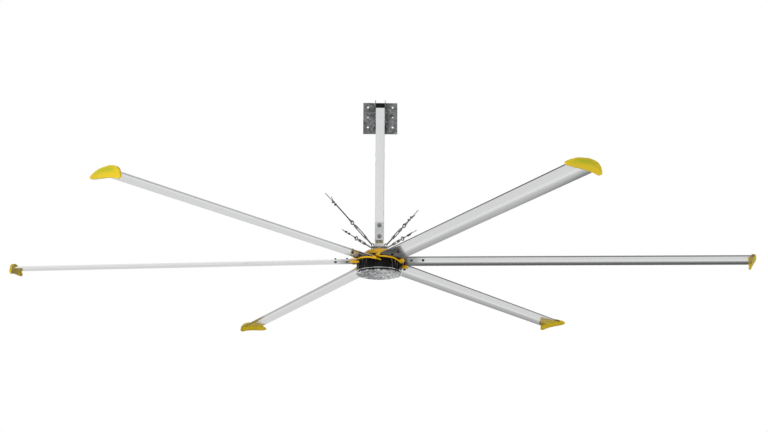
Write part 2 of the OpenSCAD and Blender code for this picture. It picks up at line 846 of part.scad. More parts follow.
module blade_bolts() {
    wr = washer_share * blade_bolt_r;
    low = under_washer(wr);
    high = over_washer(wr);
    color(black)
        for (i = [0:blade_count - 1])
            at_blade(i)
                rotate([-pitch, 0, 0])
                    for (r = [bolt_in, bolt_out])
                        translate([r, strut_s, low])
                            through_bolt(blade_bolt_r, high - low, bolt_tail);
}

// Blade: a hollow extrusion of four cells, cambered and pitched
module blade(i) {
    color(grey) at_blade(i) rotate([-pitch, 0, 0]) difference() {
        along(root_r, blade_end) difference() {
            polygon(whole(0));
            polygon(band(nose_share, cell_from - web_share, -skin, cell_steps));
            polygon([[across(cell_from), cell_floor], [across(cell_to), cell_floor],
                [across(cell_to), cell_roof], [across(cell_from), cell_roof]]);
            polygon(band(cell_to + web_share, tail_split_share - web_share / 2, -skin, cell_steps));
            polygon(band(tail_split_share + web_share / 2, tail_share, -skin, cell_steps));
        }
        for (r = [bolt_in, bolt_out])
            translate([r, strut_s, -section_t])
                cylinder(r = blade_bolt_r + bolt_gap, h = 2 * section_t + camber);
    }
}

// Winglet: crowned plate with a ridge, a rim on the inner face and a plug in the blade's end
winglet_shares = [[-0.58, -0.06], [-0.555, 0.02], [-0.45, 0.16], [-0.25, 0.33], [-0.05, 0.39], [0.1, 0.39],
    [0.27, 0.26], [0.355, 0.06], [0.388, -0.12], [0.405, -0.38], [0.39, -0.48], [0.325, -0.525],
    [0.19, -0.42], [0.03, -0.345], [-0.14, -0.3], [-0.35, -0.265], [-0.51, -0.22], [-0.572, -0.15]];
smooth_steps = 3;

// Closed curve through every point of p
function bend(a, b, c, d, t) = (2 * b + (c - a) * t + (2 * a - 5 * b + 4 * c - d) * t * t
    + (3 * b - a - 3 * c + d) * t * t * t) / 2;
function smooth(p) = let (n = len(p)) [for (i = [0:n - 1], k = [0:smooth_steps - 1])
    bend(p[(i + n - 1) % n], p[i], p[(i + 1) % n], p[(i + 2) % n], k / smooth_steps)];
winglet_middle_share = -0.1;
function winglet_points(inset) = [for (p = smooth(winglet_shares)) let (
    k = 1 - 2 * inset / winglet_l, m = 1 - 2 * inset / winglet_h)
    [winglet_l * (winglet_middle_share + (p[0] - winglet_middle_share) * k),
        winglet_h * (winglet_middle_share + (p[1] - winglet_middle_share) * m)]];

module winglet(i) {
    ridge_x = tip_r - sqrt(ridge_r * ridge_r - ridge_off * ridge_off);
    color(yellow) at_blade(i) {
        difference() {
            intersection() {
                along(blade_end - winglet_rim, tip_r + over)
                    polygon(winglet_points(0));
                for (z = [-1, 1])
                    translate([ridge_x, 0, z * ridge_off])
                        rotate([90, 0, 0])
                            cylinder(r = ridge_r, h = 2 * winglet_l, center = true, $fn = 180);
                translate([tip_r - crown_r, 0, -winglet_h])
                    cylinder(r = crown_r, h = 2 * winglet_h, $fn = 360);
            }
            along(blade_end - winglet_rim - over, blade_end)
                polygon(winglet_points(rim_w));
            rotate([-pitch, 0, 0])
                along(blade_end - winglet_rim - over, blade_end)
                    polygon(whole(seat));
        }
        rotate([-pitch, 0, 0])
            along(blade_end - plug_l, blade_end + fuse)
                polygon([[across(cell_from) + seat, cell_floor + seat], [across(cell_to) - seat, cell_floor + seat],
                    [across(cell_to) - seat, cell_roof - seat], [across(cell_from) + seat, cell_roof - seat]]);
    }
}

// Root fairing: a drooping collar round the blade's root, open where the blade and strut pass
fairing_shares = [[-0.529, 0.048], [-0.481, 0.014], [-0.375, -0.01], [-0.24, -0.022], [-0.12, -0.026],
    [0.082, -0.034], [0.202, -0.053], [0.308, -0.082], [0.423, -0.111], [0.519, -0.139], [0.577, -0.159],
    [0.606, -0.139], [0.587, -0.091], [0.519, -0.036], [0.409, 0.022], [0.24, 0.096], [0, 0.159],
    [-0.24, 0.173], [-0.442, 0.139], [-0.529, 0.091]];

module root_fairing(i) {
    color(yellow) at_blade(i) difference() {
        intersection() {
            along(fairing_inner, fairing_r + fairing_l)
                polygon(smooth(fairing_shares) * chord);
            translate([0, 0, -chord])
                linear_extrude(2 * chord)
                    polygon([[fairing_inner, -fairing_nose], [fairing_inner, fairing_tail],
                        [fairing_r + fairing_l - corner_l, fairing_tail],
                        [fairing_r + fairing_l, fairing_tail - corner_w],
                        [fairing_r + fairing_l, corner_w - fairing_nose],
                        [fairing_r + fairing_l - corner_l, -fairing_nose]]);
        }
        cylinder(r = fairing_r, h = 2 * chord, center = true);
        rotate([-pitch, 0, 0]) {
            along(root_r - seat, fairing_r + fairing_l + over)
                polygon(whole(seat));
            along(fairing_inner - over, root_r)
                polygon([[across(cell_from), hub_floor - seat], [across(cell_to), hub_floor - seat],
                    [across(cell_to), hub_floor + strut_t + seat],
                    [across(cell_from), hub_floor + strut_t + seat]]);
        }
    }
}

// Guys
module turnbuckle_hooks() {
    color(zinc)
        for (g = [0:3])
            at_guy(g) {
                rotate([0, guy_rise - 90, 0])
                    bar_ring(hook_r, bar_r);
                translate([0, 0, hook_r])
                    cylinder(r = screw_r, h = guy_at(g, 0) - hook_r + buckle_end + screw_show);
            }
}

module turnbuckle_body(g) {
    from = guy_at(g, 0);
    length = guy_at(g, 1) - from;
    color(steel) at_guy(g) translate([0, 0, from]) difference() {
        union() {
            for (z = [0, length - buckle_end])
                translate([0, 0, z])
                    cylinder(r = buckle_r, h = buckle_end);
            for (x = [-buckle_r, buckle_r - rail_t])
                translate([x, -rail_w / 2, buckle_end / 2])
                    cube([rail_t, rail_w, length - buckle_end]);
        }
        translate([0, 0, -over])
            cylinder(r = screw_r + fit, h = length + 2 * over);
    }
}

module eye_bolt(g) {
    color(zinc) at_guy(g) {
        translate([0, 0, guy_at(g, 2)])
            bar_ring(eye_r, bar_r);
        translate([0, 0, guy_at(g, 1) - buckle_end - screw_show])
            cylinder(r = screw_r, h = guy_at(g, 2) - eye_r - guy_at(g, 1) + buckle_end + screw_show);
    }
}

// Length of a rope's dead end beyond its last clip
function dead_l(g) = guy_at(g, 5) - guy_at(g, 4) - clip_h / 2 - 2 * seat;

// Route of a rope in its guy's frame, as places across and along: dead end, bight, live end
bight_steps = 8;
rope_sides = 8;
function rope_route(g) = let (z = guy_at(g, 2) + eye_r) concat(
    [[leg + splay_share * dead_l(g), guy_at(g, 5)], [leg, guy_at(g, 5) - dead_l(g)], [leg, z + throat_l]],
    [for (k = [0:bight_steps]) let (a = -180 * k / bight_steps) [bight_r * cos(a), z + bight_r * sin(a)]],
    [[-leg, z + throat_l], [-leg, guy_at(g, 6)]]);
function toward(a, b) = (b - a) / norm(b - a);
function heading(p, k) = k == 0 ? toward(p[0], p[1])
    : k == len(p) - 1 ? toward(p[k - 1], p[k])
    : let (d = toward(p[k - 1], p[k]) + toward(p[k], p[k + 1])) d / norm(d);

// Tube along a route that lies in the plane of local Y and Z
module rope(route) {
    n = len(route);
    points = [for (k = [0:n - 1], j = [0:rope_sides - 1])
        let (h = heading(route, k), a = 360 / rope_sides * (j + 0.5), c = rope_r * cos(a), s = rope_r * sin(a))
        [s, route[k][0] + h[1] * c, route[k][1] - h[0] * c]];
    sides = [for (k = [0:n - 2], j = [0:rope_sides - 1])
        let (a = k * rope_sides + j, b = k * rope_sides + (j + 1) % rope_sides)
        each [[a, b, b + rope_sides], [a, b + rope_sides, a + rope_sides]]];
    ends = concat(
        [for (j = [1:rope_sides - 2]) [0, j + 1, j]],
        [for (j = [1:rope_sides - 2]) let (a = (n - 1) * rope_sides) [a, a + j, a + j + 1]]);
    polyhedron(points = points, faces = concat(sides, ends));
}

module wire_rope(g) {
    color(steel) at_guy(g) rope(rope_route(g));
}

// Thimble in the bight, and the two clips that hold the dead end
module rope_fittings(g) {
    color(zinc) at_guy(g) {
        translate([0, 0, guy_at(g, 2) + eye_r])
            rotate([0, 90, 0])
                rotate([0, 0, 90])
                    rotate_extrude(angle = 180)
                        translate([bar_r + seat, -rope_r])
                            square([thimble_t, 2 * rope_r]);
        for (k = [3, 4])
            translate([0, 0, guy_at(g, k)])
                difference() {
                    cube([2 * rope_r + clip_wall, 2 * (leg + rope_r) + clip_wall, clip_h], center = true);
                    for (y = [-leg, leg])
                        translate([0, y, 0])
                            cylinder(r = rope_r + fit, h = clip_h + 2 * over, center = true);
                    }
    }
}

mount_bracket();
mast_tube();
mast_bolts();
lower_yoke();
yoke_bolts();
shaft_lock_nut();
stator_shaft();
stator_core();
stator_windings();
bearing_inner_rings();
shaft_retainer();
turnbuckle_hooks();
top_cover();
hub_casting();
hub_lid();
motor_drum();
magnet_ring();
end_shield();
trim_ring();
bottom_cover();
bearing_outer_rings();
housing_screws();
strut_bolts();
blade_struts();
blade_bolts();
blade(0);  // blade_1
blade(1);  // blade_2
blade(2);  // blade_3
blade(3);  // blade_4
blade(4);  // blade_5
blade(5);  // blade_6
winglet(0);  // winglet_1
winglet(1);  // winglet_2
winglet(2);  // winglet_3
winglet(3);  // winglet_4
winglet(4);  // winglet_5
winglet(5);  // winglet_6
root_fairing(0);  // root_fairing_1
root_fairing(1);  // root_fairing_2
root_fairing(2);  // root_fairing_3
root_fairing(3);  // root_fairing_4
root_fairing(4);  // root_fairing_5
root_fairing(5);  // root_fairing_6
turnbuckle_body(0);  // turnbuckle_body_1
turnbuckle_body(1);  // turnbuckle_body_2
turnbuckle_body(2);  // turnbuckle_body_3
turnbuckle_body(3);  // turnbuckle_body_4
eye_bolt(0);  // eye_bolt_1
eye_bolt(1);  // eye_bolt_2
eye_bolt(2);  // eye_bolt_3
eye_bolt(3);  // eye_bolt_4
wire_rope(0);  // wire_rope_1
wire_rope(1);  // wire_rope_2
wire_rope(2);  // wire_rope_3
wire_rope(3);  // wire_rope_4
rope_fittings(0);  // rope_fittings_1
rope_fittings(1);  // rope_fittings_2
rope_fittings(2);  // rope_fittings_3
rope_fittings(3);  // rope_fittings_4
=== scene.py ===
"""Dresses a packed six-blade ceiling fan: finishes, edges, blades, winglets, fairings, ropes and threads."""

import json
import logging
import math
from dataclasses import dataclass
from enum import Enum
from typing import Callable

import bmesh
import bpy
from mathutils import Matrix, Vector
from mathutils.bvhtree import BVHTree


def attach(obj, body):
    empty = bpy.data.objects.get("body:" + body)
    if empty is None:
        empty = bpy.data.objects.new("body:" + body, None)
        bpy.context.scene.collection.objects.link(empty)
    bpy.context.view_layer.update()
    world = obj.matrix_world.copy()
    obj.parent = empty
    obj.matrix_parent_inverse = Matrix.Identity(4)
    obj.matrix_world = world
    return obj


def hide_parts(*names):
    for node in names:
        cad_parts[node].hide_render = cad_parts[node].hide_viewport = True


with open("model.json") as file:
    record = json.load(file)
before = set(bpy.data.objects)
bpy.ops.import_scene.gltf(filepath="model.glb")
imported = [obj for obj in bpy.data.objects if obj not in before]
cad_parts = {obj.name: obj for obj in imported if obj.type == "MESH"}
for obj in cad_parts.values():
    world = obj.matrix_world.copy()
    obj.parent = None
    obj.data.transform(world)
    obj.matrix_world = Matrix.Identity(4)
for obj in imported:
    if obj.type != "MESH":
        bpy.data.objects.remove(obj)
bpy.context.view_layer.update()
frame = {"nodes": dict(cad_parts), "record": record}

log = logging.getLogger("fan")

MM = 0.001
# The fan's axis and the height of its blades in the shared frame
AXIS_Y = -55 * MM
BLADE_Z = -1275 * MM
BLADE_COUNT = 6
FIRST_TURN = math.radians(-4.74)
TIP_R = 3050 * MM
DROOP = math.atan(28 / 3050)
PITCH = math.radians(6.6)
# Where a blade begins, the round on which its fairing's inner wall ends, and that wall's facets
ROOT_R = 215 * MM
FAIRING_WALL_R = 201 * MM
WALL_TURNS = tuple(math.radians(turn) for turn in (-30, -18, -6, 6, 18, 30))
# The strip of a blade's chord that its fairing leaves bare below
UNDER_FROM = -100 * MM
UNDER_TO = 97 * MM
# In a blade's map the underside lies this far from the top, and the painted light and shade is laid between
# these two places
UNDERSIDE_SHIFT = 0.3
MAP_FROM = -0.12
MAP_TO = 0.42
# How much rougher a blade is at its root and a surface is under dust, the dust's colour, and the bumps' gain
ROOT_DULLNESS = 0.4
DUST_DULLNESS = 0.5
DUST_COLOUR = (0.42, 0.41, 0.38, 1.0)
BUMP_GAIN = 20
FIXED = "mast_and_stator"
ROTOR = "rotor"


def at_axis() -> Matrix:
    """Returns the place of the fan's own frame in the shared frame."""
    return Matrix.Translation((0, AXIS_Y, BLADE_Z))


def at_blade(index: int) -> Matrix:
    """Returns the frame of a blade, counted from 0: X along it, Y to its trailing edge, Z up."""
    turn = FIRST_TURN + math.tau / BLADE_COUNT * index
    return at_axis() @ Matrix.Rotation(turn, 4, "Z") @ Matrix.Rotation(DROOP, 4, "Y")


def at_chord(index: int) -> Matrix:
    """Returns the frame of a blade, counted from 0, pitched so that Y lies along its chord."""
    return at_blade(index) @ Matrix.Rotation(-PITCH, 4, "X")


class Relief(Enum):
    """What a finish's surface shows up close."""

    SMOOTH = "smooth"
    DRAWN_AND_PAINTED_SHADE = "drawn"
    CAST = "cast"
    SPANGLE = "spangle"
    PAINTED_CHANNEL_SHADE = "channel"
    BRUSHED = "brushed"
    STRAND = "strand"
    ETCHED_WITH_PAINTED_HIGHLIGHT = "etched"
    PAINTED_CROWN_SHADE = "painted_crown_shade"
    PAINTED_GLINT = "glint"


@dataclass(frozen=True)
class Finish:
    """One finish of the fan: colours as linear light, and how the surface breaks it up."""

    slot: str
    colour: tuple[float, float, float]
    metallic: float
    roughness: float
    relief: Relief = Relief.SMOOTH
    variation: float = 0.08
    grain: float = 900.0
    bump: float = 0.02
    specular: float = 0.5
    second: tuple[float, float, float] = (0.0, 0.0, 0.0)
    dust: float = 0.15

    @property
    def plain(self) -> tuple[float, float, float, float]:
        """The colour with full alpha."""
        return (*self.colour, 1.0)


# One finish for each material slot, and one each for two nodes that look unlike the rest of their slot
FINISHES = (
    Finish("galvanised_steel", (0.24, 0.245, 0.25), 0.5, 0.42, Relief.SPANGLE, 0.14, 55, 0.006),
    Finish("grey_paint", (0.66, 0.665, 0.67), 0.0, 0.38, Relief.CAST, 0.05, 700, 0.008, specular=0.4),
    Finish("zinc_steel", (0.19, 0.193, 0.198), 0.9, 0.32, Relief.BRUSHED, 0.12, 1400, 0.01),
    Finish("yellow_zinc", (0.25, 0.23, 0.13), 0.8, 0.40, Relief.BRUSHED, 0.2, 900, 0.01),
    Finish("machined_steel", (0.42, 0.43, 0.44), 0.95, 0.28, Relief.BRUSHED, 0.1, 1600, 0.008),
    Finish("lamination_steel", (0.16, 0.165, 0.17), 0.8, 0.5, Relief.BRUSHED, 0.15, 1200, 0.02),
    Finish("copper_wire", (0.45, 0.16, 0.05), 0.8, 0.35, Relief.BRUSHED, 0.2, 900, 0.03),
    Finish("bearing_steel", (0.55, 0.56, 0.58), 1.0, 0.16, Relief.SMOOTH, 0.05, 1200, 0.004),
    Finish("yellow_plastic", (0.68, 0.39, 0.008), 0.0, 0.30, Relief.CAST, 0.08, 500, 0.004, specular=0.3),
    # Black paint with glints painted in its second colour.
    Finish("black_paint", (0.0035, 0.0035, 0.004), 0.0, 0.16, Relief.PAINTED_GLINT, 0.5, 60, 0.01, specular=0.12,
           second=(0.20, 0.19, 0.16)),
    Finish("magnet_nickel", (0.5, 0.48, 0.44), 1.0, 0.24, Relief.SMOOTH, 0.1, 900, 0.004),
    Finish("bright_trim", (0.70, 0.71, 0.72), 1.0, 0.14, Relief.BRUSHED, 0.06, 1500, 0.004),
    Finish("brushed_cover", (0.29, 0.294, 0.30), 0.5, 0.34, Relief.ETCHED_WITH_PAINTED_HIGHLIGHT, 3.0, 58, 0.006),
    Finish("black_oxide", (0.004, 0.004, 0.0045), 0.1, 0.4, Relief.CAST, 0.2, 900, 0.01, specular=0.3),
    # The blade coating's tone across its chord is painted light and shade laid over it.
    Finish("blade_coating", (0.86, 0.865, 0.87), 0.88, 0.13, Relief.DRAWN_AND_PAINTED_SHADE, 0.05, 260, 0.0, specular=0.4),
    # The winglet's second colour is painted shade on the upper middle of its crowned face.
    Finish("yellow_winglet", (0.60, 0.44, 0.02), 0.0, 0.38, Relief.PAINTED_CROWN_SHADE, 0.03, 200, 0.0, specular=0.15,
           second=(0.43, 0.42, 0.018), dust=0.04),
    # The bracket's channel between its ears is darkened with painted shade.
    Finish("mount_bracket", (0.16, 0.163, 0.166), 0.45, 0.5, Relief.PAINTED_CHANNEL_SHADE, 0.9, 45, 0.006, specular=0.3),
    Finish("lower_yoke", (0.47, 0.48, 0.485), 0.3, 0.42, Relief.SPANGLE, 0.14, 55, 0.006),
    Finish("wire_strand", (0.10, 0.102, 0.106), 0.8, 0.42, Relief.STRAND, 0.2, 1500, 0.01),
)

# Painted light and shade across the blade from nose to tail, over its top and then, 0.3 m on, its underside
PAINTED_SHADE_ACROSS_BLADE = ((-0.104, 0.40), (-0.096, 0.44), (-0.090, 0.95), (0.10, 0.95), (0.15, 0.95), (0.193, 0.35),
                (0.200, 0.38), (0.205, 0.95), (0.29, 0.95), (0.325, 1.0), (0.352, 0.80), (0.404, 0.62))


class NodeTree:
    """Short-hand for building one shader node tree."""

    def __init__(self, tree: bpy.types.NodeTree) -> None:
        """Keeps the tree."""
        self.tree = tree

    def feed(self, target: bpy.types.NodeSocket, value: object) -> None:
        """Links a socket to an input, or sets the input to a plain value.

        Args:
            target: the input.
            value: the socket or the value.
        """
        if isinstance(value, bpy.types.NodeSocket):
            self.tree.links.new(value, target)
        else:
            target.default_value = value

    def add(self, kind: str, **values: object) -> bpy.types.Node:
        """Adds a node and sets its properties and inputs.

        Args:
            kind: the node's Blender type name.
            values: properties by name, or inputs by name with underscores for spaces.

        Returns:
            The new node.
        """
        node = self.tree.nodes.new(kind)
        for name, value in values.items():
            if hasattr(node, name):
                setattr(node, name, value)
            else:
                self.feed(node.inputs[name.replace("_", " ")], value)
        return node

    def math(self, operation: str, first: object, second: object = 0.0) -> bpy.types.NodeSocket:
        """Adds a Math node on sockets or numbers.

        Args:
            operation: the node's operation.
            first: the first socket or number.
            second: the second socket or number.

        Returns:
            The node's output.
        """
        node = self.add("ShaderNodeMath", operation=operation)
        for slot, value in enumerate((first, second)):
            self.feed(node.inputs[slot], value)
        return node.outputs[0]

    def span(self, socket: bpy.types.NodeSocket, low: float, high: float, least: float = 0.0,
             soft: bool = True) -> bpy.types.NodeSocket:
        """Maps values to a mask, which is held beyond both limits.

        Args:
            socket: the values.
            low: the value at which the mask is least.
            high: the value at which it is 1.
            least: the mask's least value.
            soft: whether it eases in and out.

        Returns:
            The mask.
        """
        node = self.add("ShaderNodeMapRange", interpolation_type="SMOOTHSTEP" if soft else "LINEAR",
                        Value=socket, From_Min=low, From_Max=high, To_Min=least)
        return node.outputs["Result"]

    def split(self, vector: bpy.types.NodeSocket) -> tuple:
        """Returns the X, Y and Z of a vector."""
        return tuple(self.add("ShaderNodeSeparateXYZ", Vector=vector).outputs)

    def blend(self, kind: str, factor: object, first: object, second: object) -> bpy.types.NodeSocket:
        """Blends two colours.

        Args:
            kind: MIX or MULTIPLY.
            factor: how much of the second colour is laid over the first.
            first: the first colour.
            second: the second colour.

        Returns:
            The blended colour.
        """
        node = self.add("ShaderNodeMix", data_type="RGBA", blend_type=kind)
        for slot, value in ((0, factor), (6, first), (7, second)):
            self.feed(node.inputs[slot], value)
        return node.outputs[2]


class SurfaceGroups:
    """The effects that the finishes share, each a node group that is built once."""

    def __init__(self) -> None:
        """Builds the three groups."""
        self.mottle = self._two_noises("uneven_tone", 1.0, (0.0, 6.0), (3.0, 2.0), 0.7)
        self.lines = self._two_noises("drawn_lines", 0.012, (0.12, 0.0), (1.0, 3.0), 0.5)
        self.dust = self._dust()

    @staticmethod
    def _start(name: str, inputs: dict[str, float | None], outputs: tuple[str, ...]) -> tuple:
        """Starts a node group.

        Args:
            name: the group's name.
            inputs: socket names with their defaults, None for a vector.
            outputs: names of the output values.

        Returns:
            The group, its builder, the sockets that it is given and those that it puts out.
        """
        group = bpy.data.node_groups.new(name, "ShaderNodeTree")
        for socket, default in inputs.items():
            kind = "NodeSocketVector" if default is None else "NodeSocketFloat"
            made = group.interface.new_socket(socket, in_out="INPUT", socket_type=kind)
            if default is not None:
                made.default_value = default
        for socket in outputs:
            group.interface.new_socket(socket, in_out="OUTPUT", socket_type="NodeSocketFloat")
        tree = NodeTree(group)
        return group, tree, tree.add("NodeGroupInput").outputs, tree.add("NodeGroupOutput").inputs

    def _two_noises(self, name: str, squash: float, coarse: tuple[float, float],
                    details: tuple[float, float], share: float) -> bpy.types.NodeTree:
        """Builds a group that puts out the tone of two noises, and the finer one as a height.

        Args:
            name: the group's name.
            squash: the pattern's scale along X, small where it runs in lines.
            coarse: the broad noise's scale, as a share of the grain and a number that is added.
            details: the detail of the broad noise and of the fine one.
            share: the broad noise's share of the tone.

        Returns:
            The group.
        """
        group, tree, given, out = self._start(
            name, {"Vector": None, "Grain": 500.0, "Depth": 0.1}, ("Tone", "Height"))
        place = tree.add("ShaderNodeMapping", Vector=given["Vector"], Scale=(squash, 1.0, 1.0)).outputs[0]
        coarse_scale = tree.math("ADD", tree.math("MULTIPLY", given["Grain"], coarse[0]), coarse[1])
        broad, fine = (tree.add("ShaderNodeTexNoise", Vector=place, Scale=scale, Detail=detail).outputs["Fac"]
                       for scale, detail in zip((coarse_scale, given["Grain"]), details))
        mixed = tree.math("ADD", tree.math("MULTIPLY", broad, share), tree.math("MULTIPLY", fine, 1 - share))
        swing = tree.math("MULTIPLY", tree.math("SUBTRACT", mixed, 0.5),
                          tree.math("MULTIPLY", given["Depth"], 2.0))
        tree.feed(out["Tone"], tree.math("ADD", swing, 1.0))
        tree.feed(out["Height"], fine)
        return group

    def _dust(self) -> bpy.types.NodeTree:
        """Returns the group of dust, which settles on faces that look up."""
        group, tree, given, out = self._start("settled_dust", {"Vector": None, "Depth": 0.2}, ("Mask",))
        normal = tree.add("ShaderNodeNewGeometry").outputs["Normal"]
        level = tree.span(tree.split(normal)[2], 0.55, 1.0, soft=False)
        patch = tree.add("ShaderNodeTexNoise", Vector=given["Vector"], Scale=14.0, Detail=5.0)
        mask = tree.math("MULTIPLY", level, patch.outputs["Fac"])
        tree.feed(out["Mask"], tree.math("MULTIPLY", mask, given["Depth"]))
        return group


class FinishTree(NodeTree):
    """The node tree of one finish's material, with the patterns that belong to it alone."""

    def __init__(self, tree: bpy.types.NodeTree, finish: Finish) -> None:
        """Keeps the finish and the coordinates that its patterns lie on.

        Args:
            tree: the material's node tree.
            finish: the finish that it shows.
        """
        super().__init__(tree)
        self.finish = finish
        # The second colour: painted glints on black paint, painted shade on a winglet's crown.
        self.second = (*finish.second, 1.0)
        self.places = self.add("ShaderNodeTexCoord").outputs
        self.lined = finish.relief in (Relief.DRAWN_AND_PAINTED_SHADE, Relief.STRAND)
        self.vector = self.places["UV" if self.lined else "Object"]

    def painted_shade_across_blade(self) -> tuple:
        """Paints light and shade across the extrusion's width, above and below, and paints its root dark as a
        reflection of the hub.

        Returns:
            The painted tone and the tint of reflections at a slant, both painted dark at the root as the
            hub's reflection, and how far out from the root a place is.
        """
        along, across, _ = self.split(self.vector)
        ramp = self.add("ShaderNodeValToRGB")
        self.feed(ramp.inputs[0], self.span(across, MAP_FROM, MAP_TO, soft=False))
        stops = ramp.color_ramp.elements
        for index, (place, tone) in enumerate(PAINTED_SHADE_ACROSS_BLADE):
            stop = stops[index] if index < 2 else stops.new(1.0)
            stop.position = (place - MAP_FROM) / (MAP_TO - MAP_FROM)
            stop.color = (tone, tone, tone, 1.0)
        shade = ramp.outputs[0]
        # The root's dark is a painted reflection of the hub: the tone falls to a tenth at the fairing's wall.
        dark, near = (self.span(along, FAIRING_WALL_R, FAIRING_WALL_R + reach, least)
                      for reach, least in ((50 * MM, 0.1), (200 * MM, 0.0)))
        tint = self.math("MULTIPLY", self.math("MULTIPLY", shade, shade), near)
        return self.math("MULTIPLY", shade, dark), tint, near

    def painted_channel_shade(self) -> bpy.types.NodeSocket:
        """Returns a painted shade that darkens the bracket's deep channel between its ears, above the mast.
        """
        across, _, height = self.split(self.vector)
        beside = self.span(self.math("ABSOLUTE", across), 34 * MM, 38 * MM)
        below = self.span(height, 60 * MM, 20 * MM)
        return self.math("MAXIMUM", self.math("MAXIMUM", beside, below), 0.04)

    def glints(self) -> bpy.types.NodeSocket:
        """Returns a black with irregular upright glints painted into its colour."""
        upright = self.add("ShaderNodeMapping", Vector=self.vector, Scale=(1.0, 1.0, 0.12)).outputs[0]
        streaks = self.add("ShaderNodeTexNoise", Vector=upright, Scale=self.finish.grain, Detail=2.0)
        mask = self.span(streaks.outputs["Fac"], 0.63, 0.74)
        return self.blend("MIX", mask, self.finish.plain, self.second)

    def painted_crown_shade(self) -> bpy.types.NodeSocket:
        """Returns both colours: the second is painted shade on the upper middle of the crown, softly parted
        by the map's way out to the edge and its height.
        """
        way_out, height, _ = self.split(self.places["UV"])
        cloud = self.add("ShaderNodeTexNoise", Vector=self.places["Object"], Scale=16.0, Detail=2.0)
        shift = self.math("MULTIPLY", self.math("SUBTRACT", cloud.outputs["Fac"], 0.5), 0.35)
        masks = [self.span(self.math("ADD", socket, shift), low, high)
                 for socket, low, high in ((way_out, 0.98, 0.62), (height, -0.16, 0.16))]
        return self.blend("MIX", self.math("MULTIPLY", *masks), self.finish.plain, self.second)

    def etching_with_painted_highlight(self) -> bpy.types.NodeSocket:
        """Returns the mottled tone of a turned disc round the fan's axis, with a painted highlight at its
        middle.
        """
        grain = self.finish.grain
        centre = self.add("ShaderNodeMapping", Vector=self.vector, Location=(0.0, -AXIS_Y, 0.0),
                          Scale=(1.0, 1.0, 0.0)).outputs[0]
        reach = self.add("ShaderNodeVectorMath", operation="LENGTH", Vector=centre).outputs["Value"]
        # A painted highlight brightens the disc's middle.
        middle = self.math("MULTIPLY", self.span(reach, 85 * MM, 20 * MM), 0.7)
        flakes = self.add("ShaderNodeTexVoronoi", Vector=centre, Scale=grain).outputs["Distance"]
        cloud = self.add("ShaderNodeTexNoise", Vector=centre, Scale=grain * 0.6, Detail=4.0,
                         Roughness=0.7).outputs["Fac"]
        mixed = self.math("ADD", self.math("MULTIPLY", flakes, 0.6), cloud)
        swing = self.math("MULTIPLY", self.math("SUBTRACT", mixed, 0.75), 2 * self.finish.variation)
        return self.math("ADD", self.math("ADD", swing, 1.0), middle)

    def spangle(self, tone: bpy.types.NodeSocket) -> bpy.types.NodeSocket:
        """Lays the crystal patches of hot-dip zinc over a tone.

        Args:
            tone: the tone so far.

        Returns:
            The new tone.
        """
        cells = self.add("ShaderNodeTexVoronoi", Vector=self.vector, Scale=self.finish.grain)
        patch = self.add("ShaderNodeSeparateColor", Color=cells.outputs["Color"]).outputs[0]
        swing = self.math("MULTIPLY", self.math("SUBTRACT", patch, 0.5), self.finish.variation)
        return self.math("ADD", tone, swing)


